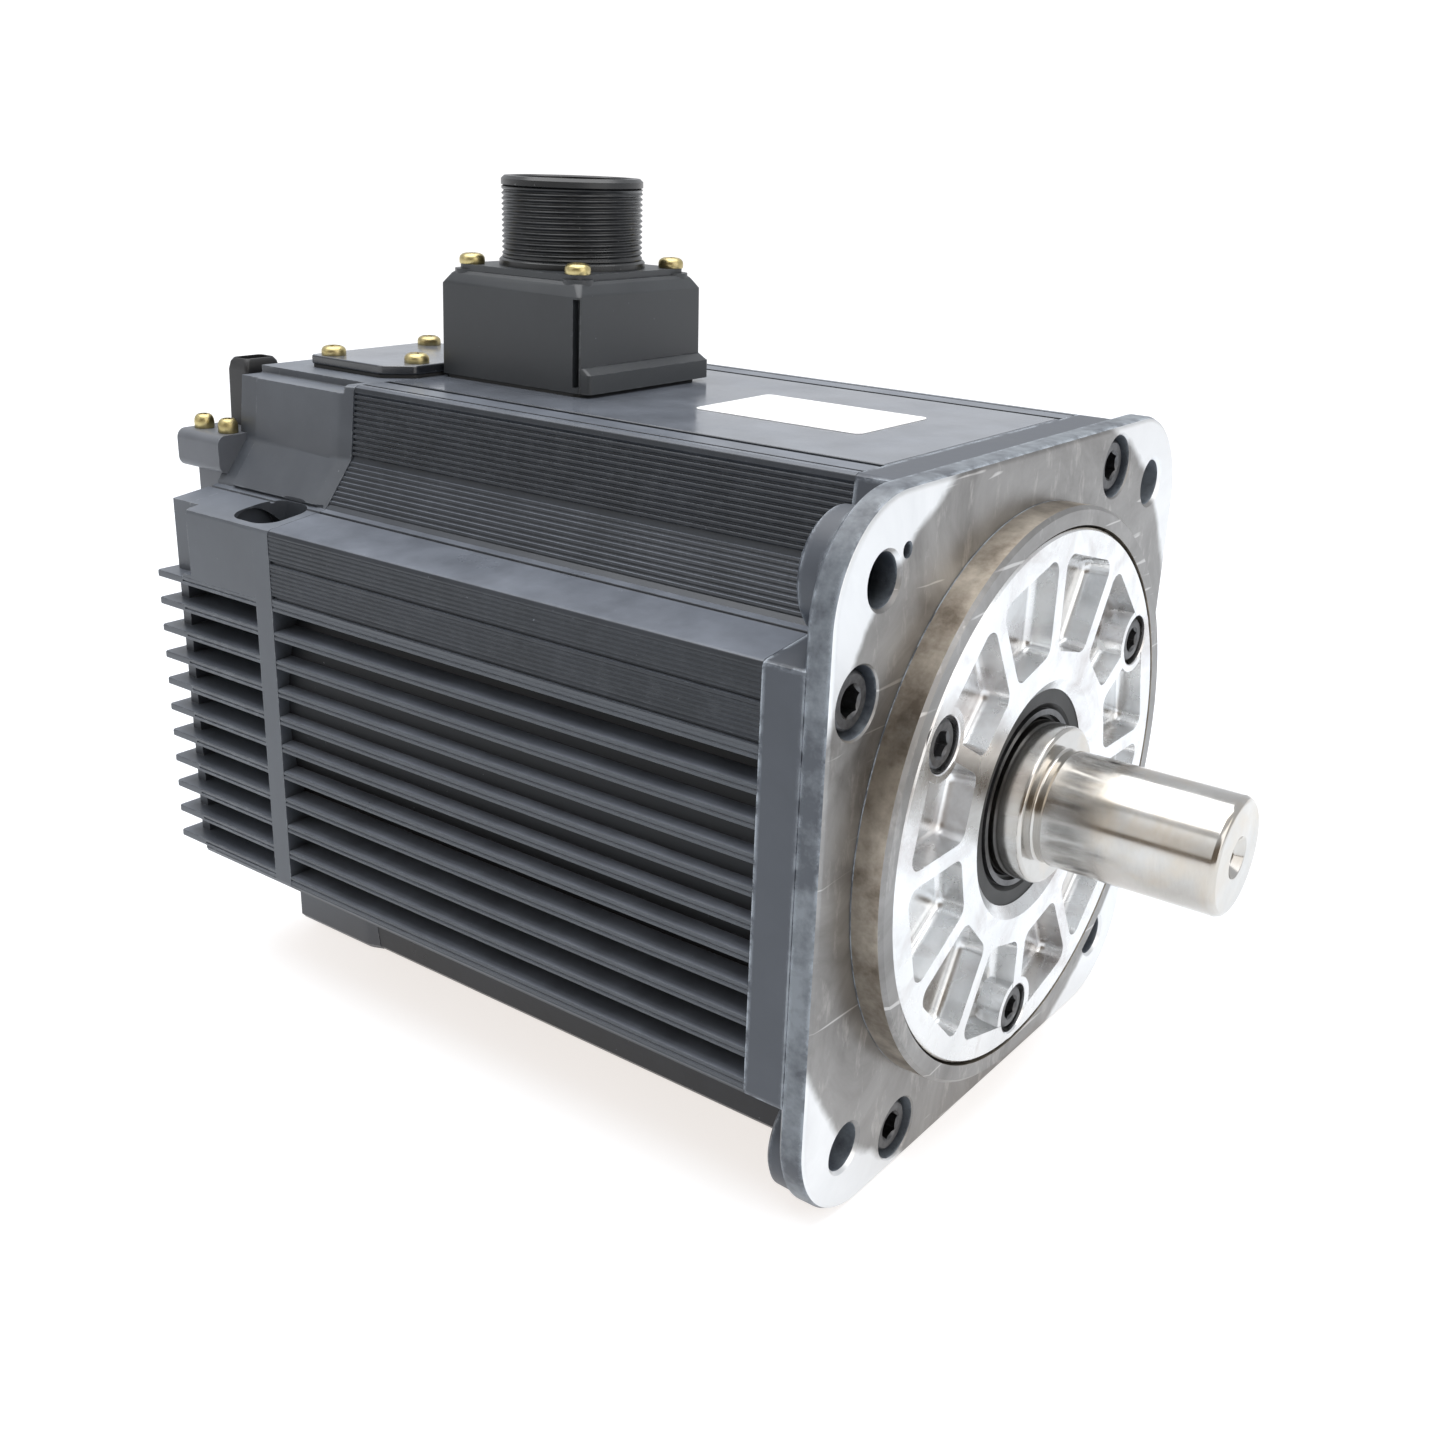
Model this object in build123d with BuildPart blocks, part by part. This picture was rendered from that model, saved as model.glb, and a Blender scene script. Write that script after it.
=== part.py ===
from build123d import *
import os
from math import cos, radians, sin

# AC servo motor with a 130 mm square mounting flange.
# Millimetres. +X runs along the shaft towards its free end and +Z is up.
# The origin is the centre of the flange's front face, on the shaft's axis.

os.makedirs("parts", exist_ok=True)

# ---- driving dimensions ----------------------------------------------------
flange_size = 130.0
flange_corner_radius = 20.0
flange_plate = 5.0
bracket_depth = 12.5
pilot_radius = 55.0
pilot_height = 6.0
mounting_circle_radius = 72.5
mounting_hole_radius = 4.5
mounting_boss_radius = 10.5

shaft_radius = 11.0
shaft_end = 44.0
collar_radius = 15.0
collar_front = 10.0

frame_front = -bracket_depth
frame_rear = -131.0
rim_rear = -136.0
rear_bracket_rear = -160.0
cover_rear = -164.0
fin_rear = -168.4

side_y = 65.0            # half width over the finned sides
side_z = 39.0            # half height of the finned sides
top_z = 64.5
bottom_z = 63.0
fin_root_radius = 62.5
fin_pitch = 6.0
fin_thickness = 1.7
top_fin_z = 23.5
fin_count = 11

stator_radius = 57.5
stator_front = -32.0
stator_rear = -98.0
stator_bore = 32.8
tooth_count = 12
rotor_core_radius = 28.0
rotor_radius = 32.0
magnet_count = 8

tie_screw = (57.0, 33.0)  # corner screw centre, repeated every quarter turn
thread_clearance = 0.1

front_bearing_front = -4.0
front_bearing_width = 16.0
front_bearing_outer = 31.0
front_bearing_bore = 15.0
rear_bearing_front = -119.0
rear_bearing_width = 14.0
rear_bearing_outer = 23.5
rear_bearing_bore = 10.0

box_x = -109.9           # centre of the power connector box
box_floor = 65.3
box_top = 86.2
box_shoulder = 82.5


# ---- shared helpers --------------------------------------------------------
def quarter_turns(y, z):
    """The same point carried round the shaft axis in four quarter turns."""
    return [(y, z), (-z, y), (-y, -z), (z, -y)]


def save(piece, name):
    piece.part.label = name
    export_step(piece.part, f"parts/{name}.step")


def plus_outline(shrink=0.0):
    """Corner points of the body's plus-shaped cross section, in Y and Z."""
    upper = [
        (side_y - shrink, side_z - shrink),
        (50.0 - shrink, 41.0 - shrink),
        (43.0 - shrink, 50.0 - shrink),
        (41.5 - shrink, top_z - shrink),
    ]
    lower = [(y, -z) for y, z in upper[:3]]
    lower.append((41.5 - shrink, -(bottom_z - shrink)))
    right = list(reversed(lower)) + upper
    left = [(-y, z) for y, z in reversed(right)]
    return right + left


def tube(outer, inner, front, length):
    """A plain ring about the shaft axis, running back from its front face."""
    with BuildPart() as ring:
        with BuildSketch(Plane.YZ.offset(front - length)):
            Circle(outer)
            Circle(inner, mode=Mode.SUBTRACT)
        extrude(amount=length)
    return ring


def cap_screws(spots, seat, head_radius, head_height, shank_radius, shank_length, facing=1):
    """Socket-head screws along X; facing is +1 for heads towards +X, else -1."""
    with BuildPart() as screws:
        with BuildSketch(Plane.YZ.offset(seat)):
            with Locations(*spots):
                Circle(head_radius)
        extrude(amount=facing * head_height)
        outer_faces = screws.faces().sort_by(Axis.X)
        outer_faces = outer_faces[-len(spots):] if facing > 0 else outer_faces[:len(spots)]
        chamfer(outer_faces.edges(), 0.35)
        with BuildSketch(Plane.YZ.offset(seat)):
            with Locations(*spots):
                Circle(shank_radius)
        extrude(amount=-facing * shank_length)
        with BuildSketch(Plane.YZ.offset(seat + facing * head_height)):
            with Locations(*spots):
                RegularPolygon(head_radius * 0.55, 6)
        extrude(amount=-facing * head_height * 0.6, mode=Mode.SUBTRACT)
    return screws


def pan_screws(spots, seat, head_radius, head_height, shank_radius, shank_length):
    """Cross-recessed pan-head screws along Z, with their heads above the seat."""
    with BuildPart() as screws:
        with BuildSketch(Plane.XY.offset(seat)):
            with Locations(*spots):
                Circle(head_radius)
        extrude(amount=head_height)
        fillet(screws.faces().sort_by(Axis.Z)[-len(spots):].edges(), head_height * 0.45)
        with BuildSketch(Plane.XY.offset(seat - shank_length)):
            with Locations(*spots):
                Circle(shank_radius)
        extrude(amount=shank_length)
        with BuildSketch(Plane.XY.offset(seat + head_height)):
            with Locations(*spots):
                Rectangle(head_radius * 1.1, head_radius * 0.3)
                Rectangle(head_radius * 0.3, head_radius * 1.1)
        extrude(amount=-head_height * 0.5, mode=Mode.SUBTRACT)
    return screws


# ---- front bracket: flange, pilot, corner bosses and front bearing seat ----
corner = mounting_circle_radius * cos(radians(45))
mounting_spots = quarter_turns(corner, corner)
tie_spots = quarter_turns(-tie_screw[0], tie_screw[1])
tie_head_radius = 5.0
tie_head_height = 6.0
tie_seat = -6.8
cover_radius = 51.0
cover_recess_radius = 51.6
cover_seat = -0.5

with BuildPart() as front_bracket:
    with BuildSketch(Plane.YZ.offset(-flange_plate)):
        RectangleRounded(flange_size, flange_size, flange_corner_radius)
    extrude(amount=flange_plate)
    chamfer(front_bracket.faces().sort_by(Axis.X)[-1].edges(), 1.0)
    with BuildSketch(Plane.YZ.offset(-bracket_depth)):
        with BuildLine():
            Polyline(*plus_outline(), close=True)
        make_face()
    extrude(amount=bracket_depth - flange_plate)
    with BuildSketch(Plane.YZ.offset(-10.0)):
        with Locations(*mounting_spots):
            Circle(mounting_boss_radius)
    extrude(amount=10.0 - flange_plate)
    # pilot spigot in front, register for the frame behind
    with BuildSketch(Plane.YZ):
        Circle(pilot_radius)
    extrude(amount=pilot_height)
    chamfer(front_bracket.faces().sort_by(Axis.X)[-1].edges(), 0.8)
    with BuildSketch(Plane.YZ.offset(-16.0)):
        Circle(stator_radius - 0.1)
    extrude(amount=16.0 - bracket_depth)
    # hollow between the register and the bearing hub
    with BuildSketch(Plane.YZ.offset(-16.0)):
        Circle(53.0)
        Circle(37.0, mode=Mode.SUBTRACT)
    extrude(amount=9.0, mode=Mode.SUBTRACT)
    with BuildSketch(Plane.YZ.offset(-22.0)):
        Circle(37.0)
    extrude(amount=6.5)
    # recess for the front cover, bearing seat and shaft opening
    with BuildSketch(Plane.YZ.offset(pilot_height)):
        Circle(cover_recess_radius)
    extrude(amount=cover_seat - pilot_height, mode=Mode.SUBTRACT)
    with BuildSketch(Plane.YZ):
        Circle(front_bearing_outer)
    extrude(amount=front_bearing_front - front_bearing_width, mode=Mode.SUBTRACT)
    with BuildSketch(Plane.YZ):
        Circle(27.0)
    extrude(amount=-22.0, mode=Mode.SUBTRACT)
    # mounting holes, counterbored corner screws and the cover's screw holes
    with BuildSketch(Plane.YZ):
        with Locations(*mounting_spots):
            Circle(mounting_hole_radius)
    extrude(amount=-10.0, mode=Mode.SUBTRACT)
    with BuildSketch(Plane.YZ):
        with Locations(*tie_spots):
            Circle(6.0)
    extrude(amount=tie_seat, mode=Mode.SUBTRACT)
    with BuildSketch(Plane.YZ):
        with Locations(*tie_spots):
            Circle(3.3)
    extrude(amount=-bracket_depth, mode=Mode.SUBTRACT)
    with BuildSketch(Plane.YZ):
        with PolarLocations(44.4, 3, 30):
            Circle(2.5 + thread_clearance)
    extrude(amount=-6.0, mode=Mode.SUBTRACT)
    with BuildSketch(Plane.YZ):
        with Locations((-45.0, 55.0)):
            Circle(1.4)
    extrude(amount=-flange_plate, mode=Mode.SUBTRACT)
save(front_bracket, "front_bracket")

bracket_screws = cap_screws(tie_spots, tie_seat, tie_head_radius, tie_head_height, 3.0, 24.0)
save(bracket_screws, "bracket_screws")

# ---- front cover: a pocketed disc that also clamps the front bearing -------
with BuildPart() as front_cover:
    with BuildSketch(Plane.YZ.offset(cover_seat)):
        Circle(cover_radius)
    extrude(amount=pilot_height - cover_seat)
    with BuildSketch(Plane.YZ):
        Circle(front_bearing_outer - 0.1)
    extrude(amount=front_bearing_front)
    chamfer(front_cover.faces().sort_by(Axis.X)[-1].edges(), 0.5)
    with BuildSketch(Plane.YZ.offset(pilot_height)) as pockets:
        Circle(46.5)
        Circle(28.5, mode=Mode.SUBTRACT)
        with PolarLocations(0, 6, 0, 180):
            Rectangle(110.0, 3.2, mode=Mode.SUBTRACT)
        with PolarLocations(44.4, 3, 30):
            Circle(6.6, mode=Mode.SUBTRACT)
        fillet(pockets.vertices(), 1.6)
    extrude(amount=-5.0, mode=Mode.SUBTRACT)
    with BuildSketch(Plane.YZ.offset(pilot_height)):
        with PolarLocations(44.4, 3, 30):
            Circle(5.0)
    extrude(amount=-3.6, mode=Mode.SUBTRACT)
    with BuildSketch(Plane.YZ.offset(pilot_height)):
        with PolarLocations(44.4, 3, 30):
            Circle(2.8)
    extrude(amount=cover_seat - pilot_height, mode=Mode.SUBTRACT)
    with BuildSketch(Plane.XZ):
        with BuildLine():
            Polyline(
                (pilot_height, 0), (pilot_height, 23.0), (4.0, 21.0), (-2.5, 21.0),
                (-2.5, 18.0), (-4.0, 18.0), (-4.0, 0), close=True,
            )
        make_face()
    revolve(axis=Axis.X, mode=Mode.SUBTRACT)
save(front_cover, "front_cover")

cover_screw_spots = [(44.4 * cos(radians(a)), 44.4 * sin(radians(a))) for a in (30, 150, 270)]
front_cover_screws = cap_screws(cover_screw_spots, pilot_height - 3.6, 4.4, 2.8, 2.5, 7.5)
save(front_cover_screws, "front_cover_screws")

# ---- oil seal: steel case ring, rubber lip and garter spring ---------------
with BuildPart() as oil_seal:
    with BuildSketch(Plane.XZ):
        with BuildLine():
            Polyline(
                (4.2, 20.95), (4.2, 18.2), (3.2, 17.2), (3.2, 15.35), (1.2, 15.15),
                (0.4, 15.06), (-0.4, 15.5), (-0.8, 17.6), (1.6, 18.0), (1.6, 19.6),
                (-2.4, 19.6), (-2.4, 20.95), close=True,
            )
        make_face()
    revolve(axis=Axis.X)
save(oil_seal, "oil_seal")

with BuildPart() as seal_spring:
    with BuildSketch(Plane.XZ):
        with Locations((0.1, 18.45)):
            Circle(0.55)
    revolve(axis=Axis.X)
save(seal_spring, "seal_spring")

seal_ring = tube(17.1, 16.0, 4.3, 1.05)
save(seal_ring, "seal_ring")


# ---- ball bearings ---------------------------------------------------------
def bearing_rings(front, width, outer, bore, ball_circle, ball_radius):
    """Outer ring, inner ring and cage with balls of one deep-groove bearing."""
    middle = front - width / 2
    groove = ball_radius + 0.3
    outer_land = ball_circle + ball_radius * 0.62
    inner_land = ball_circle - ball_radius * 0.62
    rings = []
    for large, small in ((outer, outer_land), (inner_land, bore)):
        with BuildPart() as ring:
            with BuildSketch(Plane.XZ):
                with Locations((middle, (large + small) / 2)):
                    Rectangle(width, large - small)
                with Locations((middle, ball_circle)):
                    Circle(groove, mode=Mode.SUBTRACT)
            revolve(axis=Axis.X)
        rings.append(ring)
    return rings


def bearing_cage(front, width, ball_circle, ball_radius, count):
    """A crown cage: a ring behind the balls with a post between each two."""
    middle = front - width / 2
    with BuildPart() as cage:
        with BuildSketch(Plane.YZ.offset(middle - ball_radius * 1.4)):
            Circle(ball_circle + ball_radius * 0.28)
            Circle(ball_circle - ball_radius * 0.28, mode=Mode.SUBTRACT)
        extrude(amount=ball_radius * 1.8)
        with BuildSketch(Plane.YZ.offset(middle - ball_radius - 0.12)):
            with PolarLocations(ball_circle, count):
                Circle(ball_radius + 0.12)
        extrude(amount=ball_radius * 2.0, mode=Mode.SUBTRACT)
    return cage


def bearing_balls(front, width, ball_circle, ball_radius, count):
    with BuildPart() as balls:
        with Locations(Plane.YZ.offset(front - width / 2)):
            with PolarLocations(ball_circle, count):
                Sphere(ball_radius)
    return balls


front_outer_ring, front_inner_ring = bearing_rings(
    front_bearing_front, front_bearing_width, front_bearing_outer, front_bearing_bore, 23.0, 4.6)
save(front_outer_ring, "front_bearing_outer_ring")
save(front_inner_ring, "front_bearing_inner_ring")
save(bearing_cage(front_bearing_front, front_bearing_width, 23.0, 4.6, 9), "front_bearing_cage")
save(bearing_balls(front_bearing_front, front_bearing_width, 23.0, 4.6, 9), "front_bearing_balls")

rear_outer_ring, rear_inner_ring = bearing_rings(
    rear_bearing_front, rear_bearing_width, rear_bearing_outer, rear_bearing_bore, 16.75, 3.8)
save(rear_outer_ring, "rear_bearing_outer_ring")
save(rear_inner_ring, "rear_bearing_inner_ring")
save(bearing_cage(rear_bearing_front, rear_bearing_width, 16.75, 3.8, 8), "rear_bearing_cage")
save(bearing_balls(rear_bearing_front, rear_bearing_width, 16.75, 3.8, 8), "rear_bearing_balls")

# a flat spring washer loads the rear bearing from behind
preload_washer = tube(23.3, 19.0, rear_bearing_front - rear_bearing_width, 1.0)
save(preload_washer, "preload_washer")

# ---- shaft -----------------------------------------------------------------
with BuildPart() as shaft:
    with BuildSketch(Plane.XZ):
        with BuildLine():
            Polyline(
                (shaft_end, 0), (shaft_end, shaft_radius - 1.0), (shaft_end - 1.0, shaft_radius),
                (12.0, shaft_radius), (11.6, 10.7), (collar_front, 10.7),
                (collar_front, collar_radius - 0.6), (collar_front - 0.6, collar_radius),
                (-20.0, collar_radius), (-20.0, 17.0), (-28.0, 17.0), (-28.0, 14.0),
                (-102.0, 14.0), (-102.0, 12.0), (-119.0, 12.0), (-119.0, 10.0),
                (-134.5, 10.0), (-134.5, 6.0), (-152.0, 6.0), (-152.0, 0), close=True,
            )
        make_face()
    revolve(axis=Axis.X)
    # tapped centre hole in the free end: chamfered mouth and M6 tapping bore
    with BuildSketch(Plane.XZ):
        with BuildLine():
            Polyline(
                (shaft_end, 0), (shaft_end, 3.8), (shaft_end - 1.3, 2.5), (24.0, 2.5),
                (22.6, 0), close=True,
            )
        make_face()
    revolve(axis=Axis.X, mode=Mode.SUBTRACT)
save(shaft, "shaft")

# ---- rotor -----------------------------------------------------------------
with BuildPart() as rotor_core:
    with BuildSketch(Plane.YZ.offset(stator_rear)):
        Circle(rotor_core_radius)
        Circle(14.0, mode=Mode.SUBTRACT)
        with PolarLocations(21.0, 8):
            Circle(3.0, mode=Mode.SUBTRACT)
    extrude(amount=stator_front - stator_rear)
save(rotor_core, "rotor_core")

with BuildPart() as rotor_magnets:
    with BuildSketch(Plane.YZ.offset(stator_rear + 1.0)):
        Circle(rotor_radius)
        Circle(rotor_core_radius, mode=Mode.SUBTRACT)
        with PolarLocations(0, magnet_count // 2, 0, 180):
            Rectangle(80.0, 2.0, mode=Mode.SUBTRACT)
    extrude(amount=stator_front - stator_rear - 2.0)
save(rotor_magnets, "rotor_magnets")

save(tube(27.0, 14.0, stator_front + 4.0, 4.0), "rotor_front_balance_ring")
save(tube(27.0, 14.0, stator_rear, 4.0), "rotor_rear_balance_ring")

# ---- stator ----------------------------------------------------------------
tooth_neck = 6.5
yoke_radius = 48.0
with BuildPart() as stator_core:
    with BuildSketch(Plane.YZ.offset(stator_rear)):
        Circle(stator_radius)
        Circle(yoke_radius, mode=Mode.SUBTRACT)
        with PolarLocations((yoke_radius + stator_bore) / 2 + 1.0, tooth_count, 15):
            Rectangle(yoke_radius - stator_bore + 2.0, tooth_neck)
        with PolarLocations(stator_bore + 1.6, tooth_count, 15):
            Rectangle(3.4, 14.0)
        Circle(stator_bore, mode=Mode.SUBTRACT)
    extrude(amount=stator_front - stator_rear)
save(stator_core, "stator_core")

coil_inner = stator_bore + 3.6
coil_outer = yoke_radius - 1.2


def stator_wrap(wall_in, wall_out, end_in, end_out, radial_in, radial_out):
    """Loops round every tooth: a band round the neck, closed at both ends."""
    with BuildPart() as wrap:
        with BuildSketch(Plane.YZ.offset(stator_rear - end_out)):
            with PolarLocations((radial_in + radial_out) / 2, tooth_count, 15):
                Rectangle(radial_out - radial_in, 2 * wall_out)
        extrude(amount=stator_front - stator_rear + 2 * end_out)
        with BuildSketch(Plane.YZ.offset(stator_rear - end_in)):
            with PolarLocations((radial_in + radial_out) / 2, tooth_count, 15):
                Rectangle(radial_out - radial_in + 1.0, 2 * wall_in)
        extrude(amount=stator_front - stator_rear + 2 * end_in, mode=Mode.SUBTRACT)
    return wrap


save(stator_wrap(3.3, 4.3, 0.1, 2.0, coil_inner, coil_outer), "coil_bobbins")
save(stator_wrap(4.4, 8.2, 2.1, 9.0, coil_inner + 0.8, coil_outer - 0.8), "stator_coils")

# printed ring that joins the coil ends, just behind the end turns
winding_ring = tube(50.0, 34.0, stator_rear - 10.0, 2.0)
save(winding_ring, "winding_ring")

# ---- stator frame ----------------------------------------------------------
with BuildPart() as stator_frame:
    with BuildSketch(Plane.YZ.offset(frame_rear)):
        with BuildLine():
            Polyline(*plus_outline(), close=True)
        make_face()
        Circle(stator_radius, mode=Mode.SUBTRACT)
    extrude(amount=frame_front - frame_rear)
    # cooling slots down both sides, cut no deeper than the round wall
    with BuildSketch(Plane.YZ.offset(frame_rear)):
        for k in range(fin_count):
            z = top_fin_z - fin_pitch * (k + 0.5)
            for side in (-1, 1):
                with Locations((side * 59.0, side * -z)):
                    Rectangle(28.0, fin_pitch - fin_thickness)
        Circle(fin_root_radius, mode=Mode.SUBTRACT)
        with Locations(*tie_spots):
            Circle(6.4, mode=Mode.SUBTRACT)
    extrude(amount=frame_front - frame_rear, mode=Mode.SUBTRACT)
    # tapped holes for the corner screws at both ends
    for start, depth in ((frame_front, -20.0), (frame_rear, 14.0)):
        with BuildSketch(Plane.YZ.offset(start)):
            with Locations(*tie_spots):
                Circle(3.0 + thread_clearance)
        extrude(amount=depth, mode=Mode.SUBTRACT)
    # two dark joint lines along the flat top, and the cable opening
    with BuildSketch(Plane.XY.offset(top_z)):
        with Locations((-66.0, 33.0), (-66.0, -33.0)):
            Rectangle(104.0, 1.6)
    extrude(amount=-1.0, mode=Mode.SUBTRACT)
    with BuildSketch(Plane.XY.offset(top_z)):
        with Locations((box_x, 0)):
            Circle(9.0)
    extrude(amount=-12.0, mode=Mode.SUBTRACT)
    with BuildSketch(Plane.XY.offset(top_z)):
        with Locations((box_x, 0)):
            with GridLocations(24.0, 24.0, 2, 2):
                Circle(1.5 + thread_clearance)
    extrude(amount=-6.0, mode=Mode.SUBTRACT)
save(stator_frame, "stator_frame")

# ---- rear bracket ----------------------------------------------------------
encoder_room = 44.0
encoder_cover_spots = [(-38.0, -45.0), (38.0, -45.0), (-36.0, 57.0), (44.0, 45.0)]
wiring_x = -144.0
wiring_y = -12.5
wiring_length = 13.0
wiring_width = 20.0
plate_spots = [(-153.5, -27.5), (-133.8, -22.0), (-153.5, 0.0), (-134.0, 0.0)]
with BuildPart() as rear_bracket:
    with BuildSketch(Plane.YZ.offset(rear_bracket_rear)):
        with BuildLine():
            Polyline(*plus_outline(), close=True)
        make_face()
    extrude(amount=frame_rear - rear_bracket_rear)
    with BuildSketch(Plane.YZ.offset(frame_rear)):
        Circle(stator_radius - 0.1)
    extrude(amount=4.0)
    with BuildSketch(Plane.YZ.offset(frame_rear)):
        Circle(30.0)
    extrude(amount=13.0)
    # hollow inside the register, around the hub
    with BuildSketch(Plane.YZ.offset(frame_rear + 13.0)):
        Circle(52.0)
        Circle(30.0, mode=Mode.SUBTRACT)
    extrude(amount=-13.0, mode=Mode.SUBTRACT)
    # rear bearing seat and the clearance hole for the shaft's tail
    with BuildSketch(Plane.YZ.offset(frame_rear + 13.0)):
        Circle(rear_bearing_outer)
    extrude(amount=-(frame_rear + 13.0 - rear_bearing_front + rear_bearing_width + 1.0), mode=Mode.SUBTRACT)
    with BuildSketch(Plane.YZ.offset(frame_rear + 13.0)):
        Circle(12.0)
    extrude(amount=-40.0, mode=Mode.SUBTRACT)
    with BuildSketch(Plane.YZ.offset(rim_rear - 1.0)):
        Circle(encoder_room)
    extrude(amount=-30.0, mode=Mode.SUBTRACT)
    # fins in line with the frame's, behind a plain rim
    with BuildSketch(Plane.YZ.offset(rim_rear)):
        for k in range(fin_count):
            z = top_fin_z - fin_pitch * (k + 0.5)
            for side in (-1, 1):
                with Locations((side * 59.0, side * -z)):
                    Rectangle(28.0, fin_pitch - fin_thickness)
        Circle(fin_root_radius - 5.0, mode=Mode.SUBTRACT)
        with Locations(*tie_spots):
            Circle(9.4, mode=Mode.SUBTRACT)
    extrude(amount=rear_bracket_rear - rim_rear, mode=Mode.SUBTRACT)
    # recesses for the rear screws: two open through the shoulder, two towards the rear
    with BuildSketch(Plane.YZ.offset(-133.0)):
        for k in (0, 2):
            y, z = tie_spots[k]
            with Locations((y, z)):
                Circle(7.0)
            with Locations((y, z * 1.2)):
                Rectangle(11.0, 14.0)
    extrude(amount=-13.0, mode=Mode.SUBTRACT)
    with BuildSketch(Plane.YZ.offset(-133.0)):
        with Locations(tie_spots[1], tie_spots[3]):
            Circle(6.0)
    extrude(amount=-30.0, mode=Mode.SUBTRACT)
    with BuildSketch(Plane.YZ.offset(-133.0)):
        with Locations(*tie_spots):
            Circle(3.3)
    extrude(amount=2.0, mode=Mode.SUBTRACT)
    # wiring opening under the access plate
    with BuildSketch(Plane.XY.offset(top_z)):
        with Locations((wiring_x, wiring_y)):
            Rectangle(wiring_length, wiring_width)
    extrude(amount=-24.0, mode=Mode.SUBTRACT)
    with BuildSketch(Plane.XY.offset(top_z)):
        with Locations(*plate_spots):
            Circle(1.5 + thread_clearance)
    extrude(amount=-7.0, mode=Mode.SUBTRACT)
    # the flat top steps down beside the pad that carries the access plate
    with BuildSketch(Plane.YZ.offset(rear_bracket_rear)):
        for side in (-1, 1):
            with Locations((side * 41.0, top_z)):
                Rectangle(8.0, 3.2)
    extrude(amount=frame_rear - rear_bracket_rear, mode=Mode.SUBTRACT)
    # the underside is cut away near the rear
    with BuildSketch(Plane.YZ.offset(rear_bracket_rear)):
        with Locations((0, -60.0)):
            Rectangle(100.0, 20.0)
    extrude(amount=4.5, mode=Mode.SUBTRACT)
    with BuildSketch(Plane.YZ.offset(rear_bracket_rear)):
        with Locations(*encoder_cover_spots):
            Circle(1.5 + thread_clearance)
    extrude(amount=8.0, mode=Mode.SUBTRACT)
    # channel that lets the encoder leads reach their connector
    with BuildSketch(Plane.YZ.offset(rear_bracket_rear)):
        with Locations((-31.0, 34.0)):
            Rectangle(16.0, 12.0)
    extrude(amount=8.0, mode=Mode.SUBTRACT)
save(rear_bracket, "rear_bracket")

rear_bracket_screws = cap_screws(
    tie_spots, -133.0, tie_head_radius, tie_head_height, 3.0, 14.0, facing=-1)
save(rear_bracket_screws, "rear_bracket_screws")

# ---- encoder on the shaft's tail ---------------------------------------------
with BuildPart() as encoder_hub:
    with BuildSketch(Plane.YZ.offset(-145.0)):
        Circle(14.0)
    extrude(amount=6.0)
    with BuildSketch(Plane.YZ.offset(-147.0)):
        Circle(9.0)
    extrude(amount=2.0)
    with BuildSketch(Plane.YZ.offset(-147.0)):
        Circle(6.0)
    extrude(amount=8.0, mode=Mode.SUBTRACT)
save(encoder_hub, "encoder_hub")
encoder_disc = tube(24.0, 9.1, -145.0, 0.9)
save(encoder_disc, "encoder_disc")
encoder_nut = tube(9.0, 6.0, -147.0, 4.0)
save(encoder_nut, "encoder_nut")

encoder_body = tube(36.0, 27.0, -137.0, 15.0)
save(encoder_body, "encoder_body")
with BuildPart() as encoder_board:
    with BuildSketch(Plane.YZ.offset(-153.6)):
        Circle(36.0)
        Circle(11.0, mode=Mode.SUBTRACT)
    extrude(amount=1.6)
    with BuildSketch(Plane.YZ.offset(-155.6)):
        with PolarLocations(24.0, 5, 20):
            Rectangle(7.0, 9.0)
    extrude(amount=2.0)
save(encoder_board, "encoder_board")
with BuildPart() as encoder_read_head:
    with BuildSketch(Plane.YZ.offset(-152.0)):
        with Locations((0, 19.0)):
            Rectangle(12.0, 9.0)
    extrude(amount=5.2)
save(encoder_read_head, "encoder_read_head")

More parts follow.
